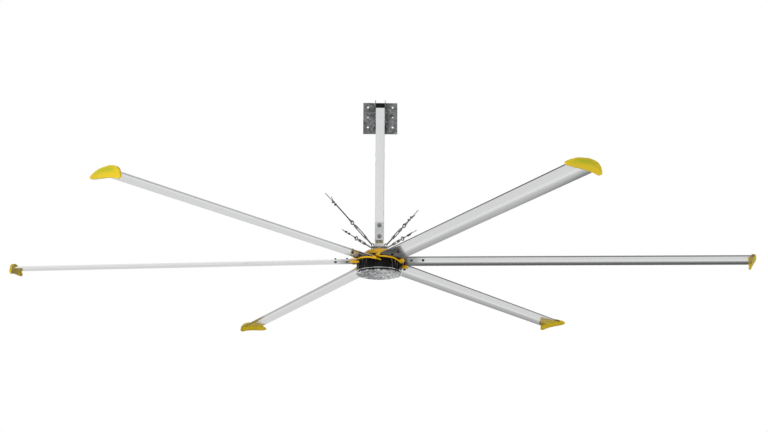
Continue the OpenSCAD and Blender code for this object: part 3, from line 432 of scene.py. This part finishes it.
class FinishShop:
    """Makes each finish's material once."""

    def __init__(self) -> None:
        """Builds the shared groups."""
        self.groups = SurfaceGroups()
        self.made: dict[str, bpy.types.Material] = {}
        self.finishes = {finish.slot: finish for finish in FINISHES}

    def material(self, slot: str) -> bpy.types.Material:
        """Builds a finish's material when it is first asked for.

        Args:
            slot: the finish's name.

        Returns:
            The material.
        """
        if slot not in self.made:
            self.made[slot] = self._build(self.finishes[slot])
        return self.made[slot]

    def _build(self, finish: Finish) -> bpy.types.Material:
        """Builds one material.

        Args:
            finish: the finish to build.

        Returns:
            The material.
        """
        material = bpy.data.materials.new(finish.slot)
        material.use_nodes = True
        tree = FinishTree(material.node_tree, finish)
        shader = material.node_tree.nodes["Principled BSDF"].inputs
        shader["Metallic"].default_value = finish.metallic
        shader["Specular IOR Level"].default_value = finish.specular
        shared = self.groups.lines if tree.lined or finish.relief is Relief.BRUSHED else self.groups.mottle
        grain = tree.add("ShaderNodeGroup", node_tree=shared, Vector=tree.vector, Grain=finish.grain,
                         Depth=finish.variation).outputs
        tone, colour = grain["Tone"], finish.plain
        rough = tree.math("MULTIPLY", tone, finish.roughness)
        if finish.relief in (Relief.SPANGLE, Relief.PAINTED_CHANNEL_SHADE):
            tone = tree.spangle(tone)
        if finish.relief is Relief.PAINTED_CHANNEL_SHADE:
            # Painted shade darkens the channel between the bracket's ears.
            tone = tree.math("MULTIPLY", tone, tree.painted_channel_shade())
        elif finish.relief is Relief.ETCHED_WITH_PAINTED_HIGHLIGHT:
            tone = tree.etching_with_painted_highlight()
        elif finish.relief is Relief.DRAWN_AND_PAINTED_SHADE:
            # Painted light and shade across the blade, and a painted reflection of the hub at its root, also
            # in the reflections' tint.
            across, painted_reflection_tint, near = tree.painted_shade_across_blade()
            tone = tree.math("MULTIPLY", tone, across)
            tree.feed(shader["Specular Tint"], painted_reflection_tint)
            near_root = tree.math("SUBTRACT", 1.0, near)
            rough = tree.math("ADD", rough, tree.math("MULTIPLY", near_root, ROOT_DULLNESS))
        elif finish.relief is Relief.PAINTED_CROWN_SHADE:
            colour = tree.painted_crown_shade()
        elif finish.relief is Relief.PAINTED_GLINT:
            colour = tree.glints()
        dust = tree.add("ShaderNodeGroup", node_tree=self.groups.dust, Vector=tree.places["Object"],
                        Depth=finish.dust).outputs["Mask"]
        clean = tree.blend("MULTIPLY", 1.0, colour, tone)
        tree.feed(shader["Base Color"], tree.blend("MIX", dust, clean, DUST_COLOUR))
        tree.feed(shader["Roughness"], tree.math("ADD", rough, tree.math("MULTIPLY", dust, DUST_DULLNESS)))
        if finish.bump:
            bump = tree.add("ShaderNodeBump", Strength=min(1.0, finish.bump * BUMP_GAIN), Distance=0.4 * MM,
                            Height=grain["Height"])
            tree.feed(shader["Normal"], bump.outputs[0])
        return material


SHOP = FinishShop()


def slot_of(node: str) -> str:
    """Returns the record's material slot of a node."""
    return next(row["material_slot"] for row in frame["record"]["subparts"] if row["node"] == node)


def body_of(node: str) -> str:
    """Returns the body that a node rides on."""
    return next(body for body, nodes in frame["record"]["behaviour"]["bodies"].items() if node in nodes)


def new_piece(name: str, bm: bmesh.types.BMesh, slot: str, body: str, place: Matrix | None = None,
              stands_for: tuple[str, ...] = ()) -> bpy.types.Object:
    """Turns a bmesh into a finished piece that rides on a body.

    Args:
        name: the piece's name.
        bm: the mesh, which is freed here.
        slot: the material slot.
        body: the body that it rides on.
        place: where the mesh goes in the shared frame.
        stands_for: CAD nodes that it replaces.

    Returns:
        The new object.
    """
    if place is not None:
        bmesh.ops.transform(bm, matrix=place, verts=bm.verts)
    mesh = bpy.data.meshes.new(name)
    bm.to_mesh(mesh)
    bm.free()
    piece = bpy.data.objects.new(name, mesh)
    bpy.context.scene.collection.objects.link(piece)
    own = stands_for[0] if stands_for and stands_for[0] in SHOP.finishes else slot
    mesh.materials.append(SHOP.material(own))
    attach(piece, body)
    if stands_for:
        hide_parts(*stands_for)
    log.info("%s: %d faces, %s, on %s", name, len(mesh.polygons), slot, body)
    return piece


def soften(bm: bmesh.types.BMesh, degrees: float) -> None:
    """Shades a mesh smooth, with creases where faces meet at more than an angle.

    Args:
        bm: the mesh.
        degrees: the crease angle.
    """
    limit = math.radians(degrees)
    for face in bm.faces:
        face.smooth = True
    for edge in bm.edges:
        edge.smooth = len(edge.link_faces) == 2 and edge.calc_face_angle(0.0) < limit


def bend_through(points: list[Vector], steps: int) -> list[Vector]:
    """Returns a closed smooth curve through every point of an outline.

    Args:
        points: the outline's own points.
        steps: how many points the curve has for each of them.
    """
    curve = []
    count = len(points)
    for index, start in enumerate(points):
        before, end, after = points[index - 1], points[(index + 1) % count], points[(index + 2) % count]
        for step in range(steps):
            t = step / steps
            curve.append(0.5 * (2 * start + (end - before) * t
                                + (2 * before - 5 * start + 4 * end - after) * t * t
                                + (3 * start - before - 3 * end + after) * t * t * t))
    return curve


def skin_over(bm: bmesh.types.BMesh, outlines: list[list[Vector]]) -> None:
    """Skins closed outlines one after the other and closes both ends.

    Args:
        bm: the mesh.
        outlines: outlines of equally many points, in step with each other.
    """
    rings = [[bm.verts.new(place) for place in outline] for outline in outlines]
    for first, second in zip(rings, rings[1:]):
        count = len(first)
        for k in range(count):
            bm.faces.new((first[k], first[(k + 1) % count], second[(k + 1) % count], second[k]))
    bm.faces.new(rings[0][::-1])
    bm.faces.new(rings[-1])


def ahead_at(path: list[Vector], index: int) -> Vector:
    """Returns the direction of a path at one of its points."""
    return (path[min(index + 1, len(path) - 1)] - path[max(index - 1, 0)]).normalized()


def add_rod(bm: bmesh.types.BMesh, path: list[Vector], radius: float, sides: int = 12) -> None:
    """Adds a closed round rod along a path that never runs along Z.

    Args:
        bm: the mesh.
        path: the points of its centre line.
        radius: the rod's radius.
        sides: how many sides its section has.
    """
    rings = []
    for index, place in enumerate(path):
        ahead = ahead_at(path, index)
        across = ahead.cross(Vector((0, 0, 1))).normalized()
        up = across.cross(ahead)
        rings.append([place + radius * (math.cos(a) * across + math.sin(a) * up)
                      for a in (math.tau * k / sides for k in range(sides))])
    skin_over(bm, rings)


def add_hexagon(bm: bmesh.types.BMesh, flat: float, depth: float, place: Matrix) -> None:
    """Adds a hexagonal nut with chamfered corners, its axis along Z and its foot at zero.

    Args:
        bm: the mesh.
        flat: its width across the flats.
        depth: its height.
        place: where it goes.
    """
    corner = flat / math.sqrt(3)
    profile = ((0.93 * corner, 0.0), (corner, 0.12 * depth), (corner, 0.86 * depth), (0.9 * corner, depth))
    skin_over(bm, [[place @ Vector((radius * math.cos(a), radius * math.sin(a), z))
                    for a in (math.tau * k / 6 for k in range(6))] for radius, z in profile])


def add_thread(bm: bmesh.types.BMesh, radius: float, pitch: float, length: float, place: Matrix) -> None:
    """Adds the ridge of a screw thread along Z, which runs out at both ends.

    Args:
        bm: the mesh.
        radius: the shank's radius, on which the ridge stands.
        pitch: the rise of one turn.
        length: the threaded length.
        place: where the thread starts.
    """
    steps = 14
    rise = 0.055 * radius
    count = int((length / pitch - 1) * steps)
    rings = []
    for index in range(count + 1):
        a = math.tau * index / steps
        z = pitch * index / steps
        height = rise * min(1.0, index / steps, (count - index) / steps)
        out = Vector((math.cos(a), math.sin(a), 0))
        corners = ((radius - rise, z), (radius + height, z + 0.45 * pitch), (radius - rise, z + 0.9 * pitch))
        rings.append([place @ (out * reach + Vector((0, 0, up))) for reach, up in corners])
    skin_over(bm, rings)


class PolishedNodes:
    """CAD nodes that keep their shape and get rounded edges and smooth turned faces."""

    def __init__(self, edge: float = 0.5 * MM, crease: float = 32.0) -> None:
        """Keeps the edge radius in metres and the crease angle in degrees."""
        self.edge = edge
        self.crease = crease

    def build(self, node: str, edge: float | None = None, change: Callable | None = None) -> bpy.types.Object:
        """Makes the polished piece of a node.

        Args:
            node: the CAD node.
            edge: the edge radius where it differs from the usual.
            change: what else is done to the mesh, as a function of it.

        Returns:
            The new piece.
        """
        bm = bmesh.new()
        bm.from_mesh(frame["nodes"][node].data)
        bmesh.ops.remove_doubles(bm, verts=bm.verts, dist=0.002 * MM)
        bmesh.ops.dissolve_limit(bm, angle_limit=math.radians(0.5), verts=bm.verts, edges=bm.edges)
        if change:
            change(bm)
        soften(bm, self.crease)
        piece = new_piece(node + "_finished", bm, slot_of(node), body_of(node), stands_for=(node,))
        bevel = piece.modifiers.new("edges", "BEVEL")
        bevel.width = self.edge if edge is None else edge
        bevel.segments = 2
        bevel.limit_method = "ANGLE"
        bevel.angle_limit = math.radians(40)
        bevel.use_clamp_overlap = True
        bevel.harden_normals = True
        return piece


def even_steps(points: list[Vector], gap: float) -> list[Vector]:
    """Returns points along a route, spaced by about a gap, with the route's own points kept.

    Args:
        points: the route.
        gap: the longest distance between two points.
    """
    line = [points[0]]
    for start, end in zip(points, points[1:]):
        steps = max(1, math.ceil((end - start).length / gap))
        line += [start.lerp(end, (step + 1) / steps) for step in range(steps)]
    return line


class BladeSet(PolishedNodes):
    """The extruded blades, whose drawing lines run along them."""

    def build_all(self) -> None:
        """Makes the six blades."""
        for index in range(BLADE_COUNT):
            own = at_chord(index)
            piece = self.build(f"blade_{index + 1}", edge=0.25 * MM,
                               change=lambda bm, own=own: self._run_in(bm, own))
            self._lay_lines(piece.data, own.inverted())

    @staticmethod
    def _run_in(bm: bmesh.types.BMesh, frame_of: Matrix) -> None:
        """Runs a blade's root in to the inner wall of its fairing.

        Args:
            bm: the blade's mesh.
            frame_of: the blade's pitched frame.
        """
        to_local = frame_of.inverted()
        for vert in bm.verts:
            place = to_local @ vert.co
            if abs(place.x - ROOT_R) < 0.2 * MM:
                place.x = math.sqrt(FAIRING_WALL_R ** 2 - place.y ** 2)
                vert.co = frame_of @ place

    @staticmethod
    def _lay_lines(mesh: bpy.types.Mesh, to_local: Matrix) -> None:
        """Maps a blade for its drawn lines and painted light and shade: U along it, V across it, with the
        underside apart from the top.

        Args:
            mesh: the blade's mesh.
            to_local: turns a place in the shared frame into the blade's own.
        """
        layer = mesh.uv_layers.new(name="along_blade")
        turn = to_local.to_3x3()
        for face in mesh.polygons:
            under = UNDERSIDE_SHIFT if (turn @ face.normal).z < 0 else 0.0
            for loop in face.loop_indices:
                place = to_local @ mesh.vertices[mesh.loops[loop].vertex_index].co
                layer.data[loop].uv = (place.x, place.y + under)


class FairingSet(PolishedNodes):
    """Root fairings, which cover the blades' roots from above and leave their undersides bare."""

    def build_all(self) -> None:
        """Makes the six fairings."""
        for index in range(BLADE_COUNT):
            own = at_chord(index)
            blade = frame["nodes"][f"blade_{index + 1}"].data
            skin = BVHTree.FromPolygons([vert.co for vert in blade.vertices],
                                        [face.vertices for face in blade.polygons])
            self.build(f"root_fairing_{index + 1}", edge=0.8 * MM,
                       change=lambda bm, own=own, skin=skin: self._tuck_under(bm, own, skin))

    @staticmethod
    def _tuck_under(bm: bmesh.types.BMesh, frame_of: Matrix, skin: BVHTree) -> None:
        """Tucks the wall under the blade into the blade's skin, outside the wall that follows the drum.

        Args:
            bm: the fairing's mesh.
            frame_of: the pitched frame of its blade.
            skin: the blade's faces.
        """
        to_local = frame_of.inverted()
        turn = frame_of.to_3x3()
        step = 0.2 * MM
        outward = [Vector((math.cos(a), math.sin(a), 0)) for a in WALL_TURNS]
        cuts = [(way * reach, way) for way in outward for reach in (FAIRING_WALL_R, FAIRING_WALL_R + step)]
        cuts += [(Vector((0, place, 0)), Vector((0, 1, 0)))
                 for place in (UNDER_FROM, UNDER_FROM + step, UNDER_TO - step, UNDER_TO)]
        for place, normal in cuts:
            bmesh.ops.bisect_plane(bm, geom=bm.verts[:] + bm.edges[:] + bm.faces[:], dist=0.001 * MM,
                                   plane_co=frame_of @ place, plane_no=turn @ normal)
        up = turn @ Vector((0, 0, 1))
        for vert in bm.verts:
            place = to_local @ vert.co
            within = max(way.dot(place) for way in outward) < FAIRING_WALL_R + step / 2
            if within or not UNDER_FROM + step / 2 < place.y < UNDER_TO - step / 2:
                continue
            hit = skin.ray_cast(frame_of @ Vector((ROOT_R + 20 * MM, place.y, -80 * MM)), up)[0]
            if hit is None:
                continue
            under = (to_local @ hit).z
            if place.z < under + 1 * MM:
                place.z = under + (1.0 if place.z < under - 1.5 * MM else 2.0) * MM
                vert.co = frame_of @ place

@dataclass(frozen=True)
class WingletSet:
    """Moulded winglets: an upturned scoop of a plate with a soft ridge and a rounded rim."""

    length: float = 277 * MM
    height: float = 108 * MM
    thickness: float = 10 * MM
    rim: float = 12 * MM
    rim_width: float = 3.5 * MM
    crown: float = 1300 * MM
    ridge: float = 330 * MM
    ridge_offset: float = 24 * MM
    ridge_soft: float = 5 * MM
    middle_share: float = -0.1
    outline_shares: tuple = (
        (-0.58, -0.06), (-0.555, 0.02), (-0.45, 0.16), (-0.25, 0.33), (-0.05, 0.39), (0.1, 0.39),
        (0.27, 0.26), (0.355, 0.06), (0.388, -0.12), (0.405, -0.38), (0.39, -0.48), (0.325, -0.525),
        (0.19, -0.42), (0.03, -0.345), (-0.14, -0.3), (-0.35, -0.265), (-0.51, -0.22), (-0.572, -0.15))
    # Rings of the outer face from its edge to its middle, as shares of the way out
    ring_shares: tuple = (0.985, 0.96, 0.9, 0.8, 0.68, 0.55, 0.42, 0.3, 0.18, 0.08)

    def build_all(self) -> None:
        """Makes the six winglets."""
        outline = bend_through([Vector(share) for share in self.outline_shares], 6)
        for index in range(BLADE_COUNT):
            bm = bmesh.new()
            self._plate(bm, outline)
            bmesh.ops.recalc_face_normals(bm, faces=bm.faces)
            soften(bm, 38)
            self._lay_map(bm)
            new_piece(f"winglet_{index + 1}_moulded", bm, "yellow_winglet", ROTOR, at_blade(index),
                      stands_for=(f"winglet_{index + 1}",))

    @property
    def middle(self) -> Vector:
        """The plate's middle, as shares of its length and height."""
        return Vector((self.middle_share, self.middle_share))

    def _at(self, share: Vector, scale: float, x: float) -> Vector:
        """Returns an outline point drawn towards the plate's middle, at a distance along the blade."""
        place = self.middle + (share - self.middle) * scale
        return Vector((x, self.length * place.x, self.height * place.y))

    def _outer(self, place: Vector) -> float:
        """Finds how far out the crowned and ridged outer face lies.

        Args:
            place: a place over the plate.

        Returns:
            The distance along the blade.
        """
        up = math.sqrt(place.z ** 2 + self.ridge_soft ** 2) + self.ridge_offset
        at_ridge = math.sqrt(self.ridge ** 2 - self.ridge_offset ** 2)
        bulge = math.sqrt(max(0.0, self.ridge ** 2 - up ** 2)) - at_ridge
        crowned = math.sqrt(self.crown ** 2 - place.y ** 2) - self.crown
        return TIP_R + min(bulge, crowned, 0.0)

    def _lay_map(self, bm: bmesh.types.BMesh) -> None:
        """Maps a winglet for its painted shade: U is the way out to its edge, V its height as a share.

        Args:
            bm: the winglet's mesh.
        """
        layer = bm.loops.layers.uv.new("over_plate")
        for face in bm.faces:
            for loop in face.loops:
                place = loop.vert.co
                share = Vector((place.y / self.length, place.z / self.height))
                way = share - self.middle
                loop[layer].uv = (min(1.0, way.length / max(0.15, self._edge_share(way))), share.y)

    def _edge_share(self, way: Vector) -> float:
        """Returns about how far the outline lies from the plate's middle in a direction."""
        spokes = [Vector(share) - self.middle for share in self.outline_shares]
        return max(spokes, key=lambda spoke: spoke.normalized().dot(way.normalized())).length

    def _inset(self, width: float) -> float:
        """Returns the scale that draws the outline in by about a width."""
        return 1 - 2 * width / self.height

    def _plate(self, bm: bmesh.types.BMesh, outline: list[Vector]) -> None:
        """Adds one winglet in its blade's frame.

        Args:
            bm: the mesh.
            outline: the outline's points as shares of length and height.
        """
        inner = TIP_R - self.thickness
        foot = inner - self.rim
        roll = 1.2 * MM
        profile = ((self._inset(self.rim_width), inner), (self._inset(self.rim_width), foot + roll / 2),
                   (self._inset(self.rim_width - roll / 2), foot), (self._inset(roll / 2), foot),
                   (1.0, foot + roll / 2))
        rings = [[self._at(share, scale, x) for share in outline] for scale, x in profile]
        rolled = ((1.0, 2.0 * roll), (0.997, 1.0 * roll), (0.992, 0.45 * roll))
        for scale, drop in (*rolled, *((scale, 0.0) for scale in self.ring_shares)):
            places = [self._at(share, scale, 0.0) for share in outline]
            for place in places:
                place.x = self._outer(place) - drop
            rings.append(places)
        skin_over(bm, rings)


@dataclass(frozen=True)
class GuySet:
    """Four guys of laid wire rope, each on a thimble with two clips, beside their threaded screws."""

    hole: float = 41 * MM
    high: float = 117 * MM
    base: float = 10 * MM
    rise: float = math.radians(32)
    length: float = 632 * MM
    hook_r: float = 16 * MM
    eye_r: float = 15 * MM
    bar_r: float = 4.75 * MM
    rope_r: float = 3 * MM
    screw_r: float = 6 * MM
    boss: float = 18 * MM
    shown: float = 15 * MM
    seat: float = 0.3 * MM
    thimble: float = 1.5 * MM
    throat: float = 34 * MM
    clip: float = 13 * MM
    clip_rod: float = 2.2 * MM
    saddle: float = 4.2 * MM
    rod_end: float = 6.5 * MM
    nut_flat: float = 8.2 * MM
    nut_depth: float = 4.0 * MM
    pitch: float = 1.75 * MM
    splay_share: float = 0.4
    turns: tuple = (225, 315, 45, 135)
    # Places along a guy: body's two ends, eye, two clips, dead end and live end
    place_shares: tuple = (
        (0.139, 0.388, 0.444, 0.790, 0.838, 0.922, 1.000),
        (0.144, 0.329, 0.393, 0.498, 0.548, 0.601, 0.693),
        (0.163, 0.309, 0.378, 0.490, 0.530, 0.642, 0.691),
        (0.174, 0.317, 0.374, 0.549, 0.617, 0.652, 0.704))

    def place(self, guy: int) -> Matrix:
        """Places a guy's frame, whose Z runs along it from the middle of its hook's ring.

        Args:
            guy: the guy's number, from 0.

        Returns:
            The frame.
        """
        turn = math.radians(self.turns[guy])
        out = self.hole * math.sqrt(2)
        hole = Vector((out * math.cos(turn), out * math.sin(turn), self.high + self.base / 2))
        return (at_axis() @ Matrix.Translation(hole) @ Matrix.Rotation(turn, 4, "Z")
                @ Matrix.Translation((self.hook_r, 0, 0)) @ Matrix.Rotation(math.pi / 2 - self.rise, 4, "Y"))

    def along(self, guy: int, which: int) -> float:
        """Returns one of a guy's places along it."""
        return self.place_shares[guy][which] * self.length

    def route(self, guy: int) -> list[Vector]:
        """Lays out a rope's route: dead end, round the thimble, live end.

        Args:
            guy: the guy's number, from 0.

        Returns:
            The route's points in the guy's frame.
        """
        leg = self.rope_r + self.seat
        bight = self.bar_r + self.seat + self.thimble + self.rope_r
        eye = self.along(guy, 2) + self.eye_r
        loose = self.along(guy, 5) - self.along(guy, 4) - self.clip / 2 - 2 * self.seat
        points = [(leg + self.splay_share * loose, self.along(guy, 5)), (leg, self.along(guy, 5) - loose),
                  (leg, eye + self.throat)]
        for step in range(9):
            a = -math.pi * step / 8
            points.append((bight * math.cos(a), eye + bight * math.sin(a)))
        points += [(-leg, eye + self.throat), (-leg, self.along(guy, 6))]
        return [Vector((0, y, z)) for y, z in points]

    def build_ropes(self) -> None:
        """Makes the ropes."""
        for guy in range(len(self.turns)):
            line = even_steps(self.route(guy), 2.2 * MM)
            bm = bmesh.new()
            self._lay_rope(bm, line)
            place = self.place(guy)
            piece = new_piece(f"wire_rope_{guy + 1}_laid", bm, "wire_strand", f"guy_end_{guy + 1}", place,
                              stands_for=(f"wire_rope_{guy + 1}",))

    def _lay_rope(self, bm: bmesh.types.BMesh, line: list[Vector]) -> None:
        """Adds a rope of six strands twisted round a core, with cut ends.

        Args:
            bm: the mesh.
            line: evenly spaced points of its centre line in the guy's frame.
        """
        strands, fine = 6, 5
        lay = 13 * self.rope_r
        side = Vector((1, 0, 0))
        rings = []
        travelled = 0.0
        for index, place in enumerate(line):
            if index:
                travelled += (place - line[index - 1]).length
            up = ahead_at(line, index).cross(side).normalized()
            ring = []
            for k in range(strands * fine):
                a = math.tau * k / (strands * fine)
                lobe = abs(math.cos(strands / 2 * a))
                radius = self.rope_r * (0.82 + 0.18 * math.sqrt(lobe))
                turned = a + math.tau * travelled / lay
                ring.append(place + radius * (math.cos(turned) * side + math.sin(turned) * up))
            rings.append(ring)
        skin_over(bm, rings)
        bmesh.ops.recalc_face_normals(bm, faces=bm.faces)
        soften(bm, 50)

    def build_fittings(self) -> None:
        """Makes each guy's thimble and clips, and the threads of its screws."""
        for guy in range(len(self.turns)):
            bm = bmesh.new()
            self._add_thimble(bm, guy)
            for which in (3, 4):
                self._add_clip(bm, Matrix.Translation((0, 0, self.along(guy, which))))
            bmesh.ops.recalc_face_normals(bm, faces=bm.faces)
            soften(bm, 35)
            new_piece(f"rope_fittings_{guy + 1}_forged", bm, slot_of(f"rope_fittings_{guy + 1}"),
                      f"guy_end_{guy + 1}", self.place(guy), stands_for=(f"rope_fittings_{guy + 1}",))
            self._build_threads(guy)

    def _add_thimble(self, bm: bmesh.types.BMesh, guy: int) -> None:
        """Adds the grooved thimble that the rope is bent round.

        Args:
            bm: the mesh.
            guy: the guy's number, from 0.
        """
        legs = self.route(guy)[2:-1]
        line = even_steps([legs[1].lerp(legs[0], 0.62), *legs[1:-1], legs[-2].lerp(legs[-1], 0.62)], 2.0 * MM)
        middle = Vector((0, 0, self.along(guy, 2) + self.eye_r))
        faces = ((self.rope_r + 0.15 * MM, 1), (self.rope_r + self.thimble - 0.1 * MM, -1))
        rings = []
        for index, place in enumerate(line):
            ahead = ahead_at(line, index)
            inward = Vector((0, ahead.z, -ahead.y))
            if inward.dot(middle - place) < 0:
                inward = -inward
            ring = []
            for radius, spread in faces:
                for step in range(-4, 5):
                    a = spread * math.radians(82) * step / 4
                    ring.append(place + radius * (math.cos(a) * inward + math.sin(a) * Vector((1, 0, 0))))
            rings.append(ring)
        skin_over(bm, rings)
    def _add_clip(self, bm: bmesh.types.BMesh, place: Matrix) -> None:
        """Adds one rope clip: a bent rod round both legs of the rope, a saddle and two nuts.

        Args:
            bm: the mesh.
            place: the clip's frame.
        """
        leg = self.rope_r + self.seat
        reach = self.rope_r + self.clip_rod + 0.2 * MM
        foot = -leg - self.rope_r - self.saddle
        path = [Vector((-reach, foot - self.rod_end, 0)), Vector((-reach, 0, 0))]
        for step in range(11):
            a = math.pi * (1 - step / 10)
            path.append(Vector((reach * math.cos(a), leg + reach * math.sin(a), 0)))
        path += [Vector((reach, 0, 0)), Vector((reach, foot - self.rod_end, 0))]
        add_rod(bm, [place @ point for point in path], self.clip_rod)
        self._add_saddle(bm, place, foot, -leg + 0.4 * MM, reach + self.clip_rod + 1.3 * MM)
        down = Matrix.Rotation(math.pi / 2, 4, "X")
        for x in (-reach, reach):
            add_hexagon(bm, self.nut_flat, self.nut_depth, place @ Matrix.Translation((x, foot, 0)) @ down)

    def _add_saddle(self, bm: bmesh.types.BMesh, place: Matrix, foot: float, top: float,
                    half: float) -> None:
        """Adds a clip's saddle, grooved for the rope and rounded at its corners.

        Args:
            bm: the mesh.
            place: the clip's frame.
            foot: its lower face, where the nuts bear.
            top: its upper face.
            half: half its width.
        """
        section = [(-half, foot + 1.2 * MM), (-half + 1.2 * MM, foot), (half - 1.2 * MM, foot),
                   (half, foot + 1.2 * MM), (half, top - 1.5 * MM), (half - 1.0 * MM, top)]
        groove = self.rope_r + 0.1 * MM
        for step in range(9):
            a = math.pi * step / 8
            section.append((groove * math.cos(a), -self.rope_r - self.seat - groove * math.sin(a)))
        section += [(-half + 1.0 * MM, top), (-half, top - 1.5 * MM)]
        skin_over(bm, [[place @ Vector((x * scale, y, z * self.clip)) for x, y in section]
                       for z, scale in ((-0.5, 0.94), (-0.42, 1.0), (0.42, 1.0), (0.5, 0.94))])

    def _build_threads(self, guy: int) -> None:
        """Makes the threads of a guy's two screws.

        Args:
            guy: the guy's number, from 0.
        """
        start, end, eye = (self.along(guy, which) for which in (0, 1, 2))
        hook, eyed = bmesh.new(), bmesh.new()
        hook_start = self.hook_r + 4 * self.bar_r
        eye_end = eye - self.eye_r - self.bar_r - 2 * self.seat
        spans = [(hook, hook_start, start - hook_start - self.seat), (hook, start + self.boss, self.shown),
                 (eyed, end - self.boss - self.shown, self.shown)]
        if eye_end - end > 2 * self.pitch:
            spans.append((eyed, end + self.seat, eye_end - end - self.seat))
        for bm, begins, length in spans:
            add_thread(bm, self.screw_r, self.pitch, length, Matrix.Translation((0, 0, begins)))
        for bm, name, body in ((hook, "hook_thread", FIXED), (eyed, "eye_thread", f"guy_end_{guy + 1}")):
            bmesh.ops.recalc_face_normals(bm, faces=bm.faces)
            new_piece(f"{name}_{guy + 1}", bm, "zinc_steel", body, self.place(guy))


@dataclass(frozen=True)
class Studio:
    """Floor, lights, background and camera."""

    camera_place: tuple[float, float, float] = (0.0, AXIS_Y - 10.6591, BLADE_Z - 2.5708)
    yaw: float = math.radians(2.12)
    pitch: float = math.radians(15.53)
    roll: float = math.radians(-0.12)
    lens: float = 62.39
    shift: float = -43 / 768
    ambient: float = 0.32
    floor_z: float = BLADE_Z - 9.0
    floor_radius: float = 120.0
    floor_tone: float = 0.86
    # The floor's own light as the camera and as mirrors see it
    floor_seen: float = 0.45
    floor_mirrored: float = 0.52
    # In mirrors the floor is dull up to one distance before or behind the bracket and bright from the other
    dull_to: float = 10.0
    bright_from: float = 14.4
    lamps: tuple = (
        ("key_front", (-3.0, -12.0, -4.0), 6.0, 1380.0),
        ("fill_high", (3.0, 3.0, 7.0), 6.0, 420.0),
        ("back_low", (2.0, 9.0, -3.0), 6.0, 120.0),
    )

    def build(self) -> None:
        """Builds the whole studio."""
        self._world()
        self._floor()
        self._lamps()
        self._camera()

    def _world(self) -> None:
        """Makes a soft world light that the camera and mirrors see as white."""
        world = bpy.data.worlds.new("studio")
        bpy.context.scene.world = world
        world.use_nodes = True
        tree = NodeTree(world.node_tree)
        background = world.node_tree.nodes["Background"].inputs
        background["Color"].default_value = (1, 1, 1, 1)
        seen = tree.add("ShaderNodeLightPath").outputs
        clear = tree.math("MAXIMUM", seen["Is Camera Ray"],
                          tree.math("MAXIMUM", seen["Is Glossy Ray"], seen["Is Transmission Ray"]))
        bright = tree.math("MULTIPLY", clear, 1.0 - self.ambient)
        tree.feed(background["Strength"], tree.math("ADD", self.ambient, bright))

    def _floor(self) -> None:
        """Lays a plain pale floor under the fan."""
        bm = bmesh.new()
        bmesh.ops.create_circle(bm, cap_ends=True, segments=64, radius=self.floor_radius)
        bmesh.ops.translate(bm, vec=(0, 0, self.floor_z), verts=bm.verts)
        mesh = bpy.data.meshes.new("floor")
        bm.to_mesh(mesh)
        bm.free()
        floor = bpy.data.objects.new("floor", mesh)
        bpy.context.scene.collection.objects.link(floor)
        material = bpy.data.materials.new("pale_floor")
        material.use_nodes = True
        tree = NodeTree(material.node_tree)
        shader = material.node_tree.nodes["Principled BSDF"].inputs
        shader["Roughness"].default_value = 0.9
        shader["Specular IOR Level"].default_value = 0.1
        shader["Emission Color"].default_value = (1, 1, 1, 1)
        seen = tree.add("ShaderNodeLightPath").outputs
        away = tree.math("ABSOLUTE", tree.split(tree.add("ShaderNodeTexCoord").outputs["Object"])[1])
        bright = tree.span(away, self.dull_to, self.bright_from, 0.1)
        clear = tree.math("MAXIMUM", seen["Is Camera Ray"], seen["Is Transmission Ray"])
        mirrored = tree.math("MULTIPLY", seen["Is Glossy Ray"], bright)
        tree.feed(shader["Emission Strength"], tree.math(
            "ADD", tree.math("MULTIPLY", clear, self.floor_seen),
            tree.math("MULTIPLY", mirrored, self.floor_mirrored)))
        dull = tree.math("MULTIPLY", seen["Is Glossy Ray"], tree.math("SUBTRACT", 1.0, bright))
        tree.feed(shader["Base Color"], tree.math(
            "MULTIPLY", self.floor_tone, tree.math("SUBTRACT", 1.0, tree.math("MULTIPLY", dull, 0.95))))
        mesh.materials.append(material)
    def _lamps(self) -> None:
        """Hangs the soft lamps, each aimed at the hub and unseen in mirrors."""
        hub = at_axis().translation
        for name, place, size, power in self.lamps:
            light = bpy.data.lights.new(name, "AREA")
            light.shape = "DISK"
            light.size = size
            light.energy = power
            lamp = bpy.data.objects.new(name, light)
            lamp.location = hub + Vector(place)
            lamp.rotation_euler = (hub - lamp.location).to_track_quat("-Z", "Y").to_euler()
            lamp.visible_glossy = False
            bpy.context.scene.collection.objects.link(lamp)

    def _camera(self) -> None:
        """Sets the camera at the photograph's angle."""
        data = bpy.data.cameras.new("camera")
        data.lens = self.lens
        data.sensor_width = 36.0
        data.shift_x = self.shift
        data.clip_end = 200.0
        camera = bpy.data.objects.new("camera", data)
        forward = Vector((math.sin(self.yaw) * math.cos(self.pitch),
                          math.cos(self.yaw) * math.cos(self.pitch), math.sin(self.pitch)))
        right = forward.cross(Vector((0, 0, 1))).normalized()
        up = right.cross(forward)
        turned = math.cos(self.roll) * right + math.sin(self.roll) * up
        raised = -math.sin(self.roll) * right + math.cos(self.roll) * up
        axes = Matrix((turned, raised, -forward)).transposed()
        camera.matrix_world = Matrix.Translation(self.camera_place) @ axes.to_4x4()
        bpy.context.scene.collection.objects.link(camera)
        bpy.context.scene.camera = camera
        bpy.context.scene.view_settings.view_transform = "Standard"


def main() -> None:
    """Builds the studio, then every piece of the fan."""
    logging.basicConfig(level=logging.INFO, format="%(name)s: %(message)s")
    Studio().build()
    guys = GuySet()
    guys.build_ropes()
    guys.build_fittings()
    WingletSet().build_all()
    BladeSet().build_all()
    FairingSet().build_all()
    polished = PolishedNodes()
    built = ("wire_rope", "rope_fittings", "winglet", "root_fairing",
             *(f"blade_{index + 1}" for index in range(BLADE_COUNT)))
    for node in sorted(frame["nodes"]):
        if not node.startswith(built):
            polished.build(node)


if __name__ == "__main__":
    main()
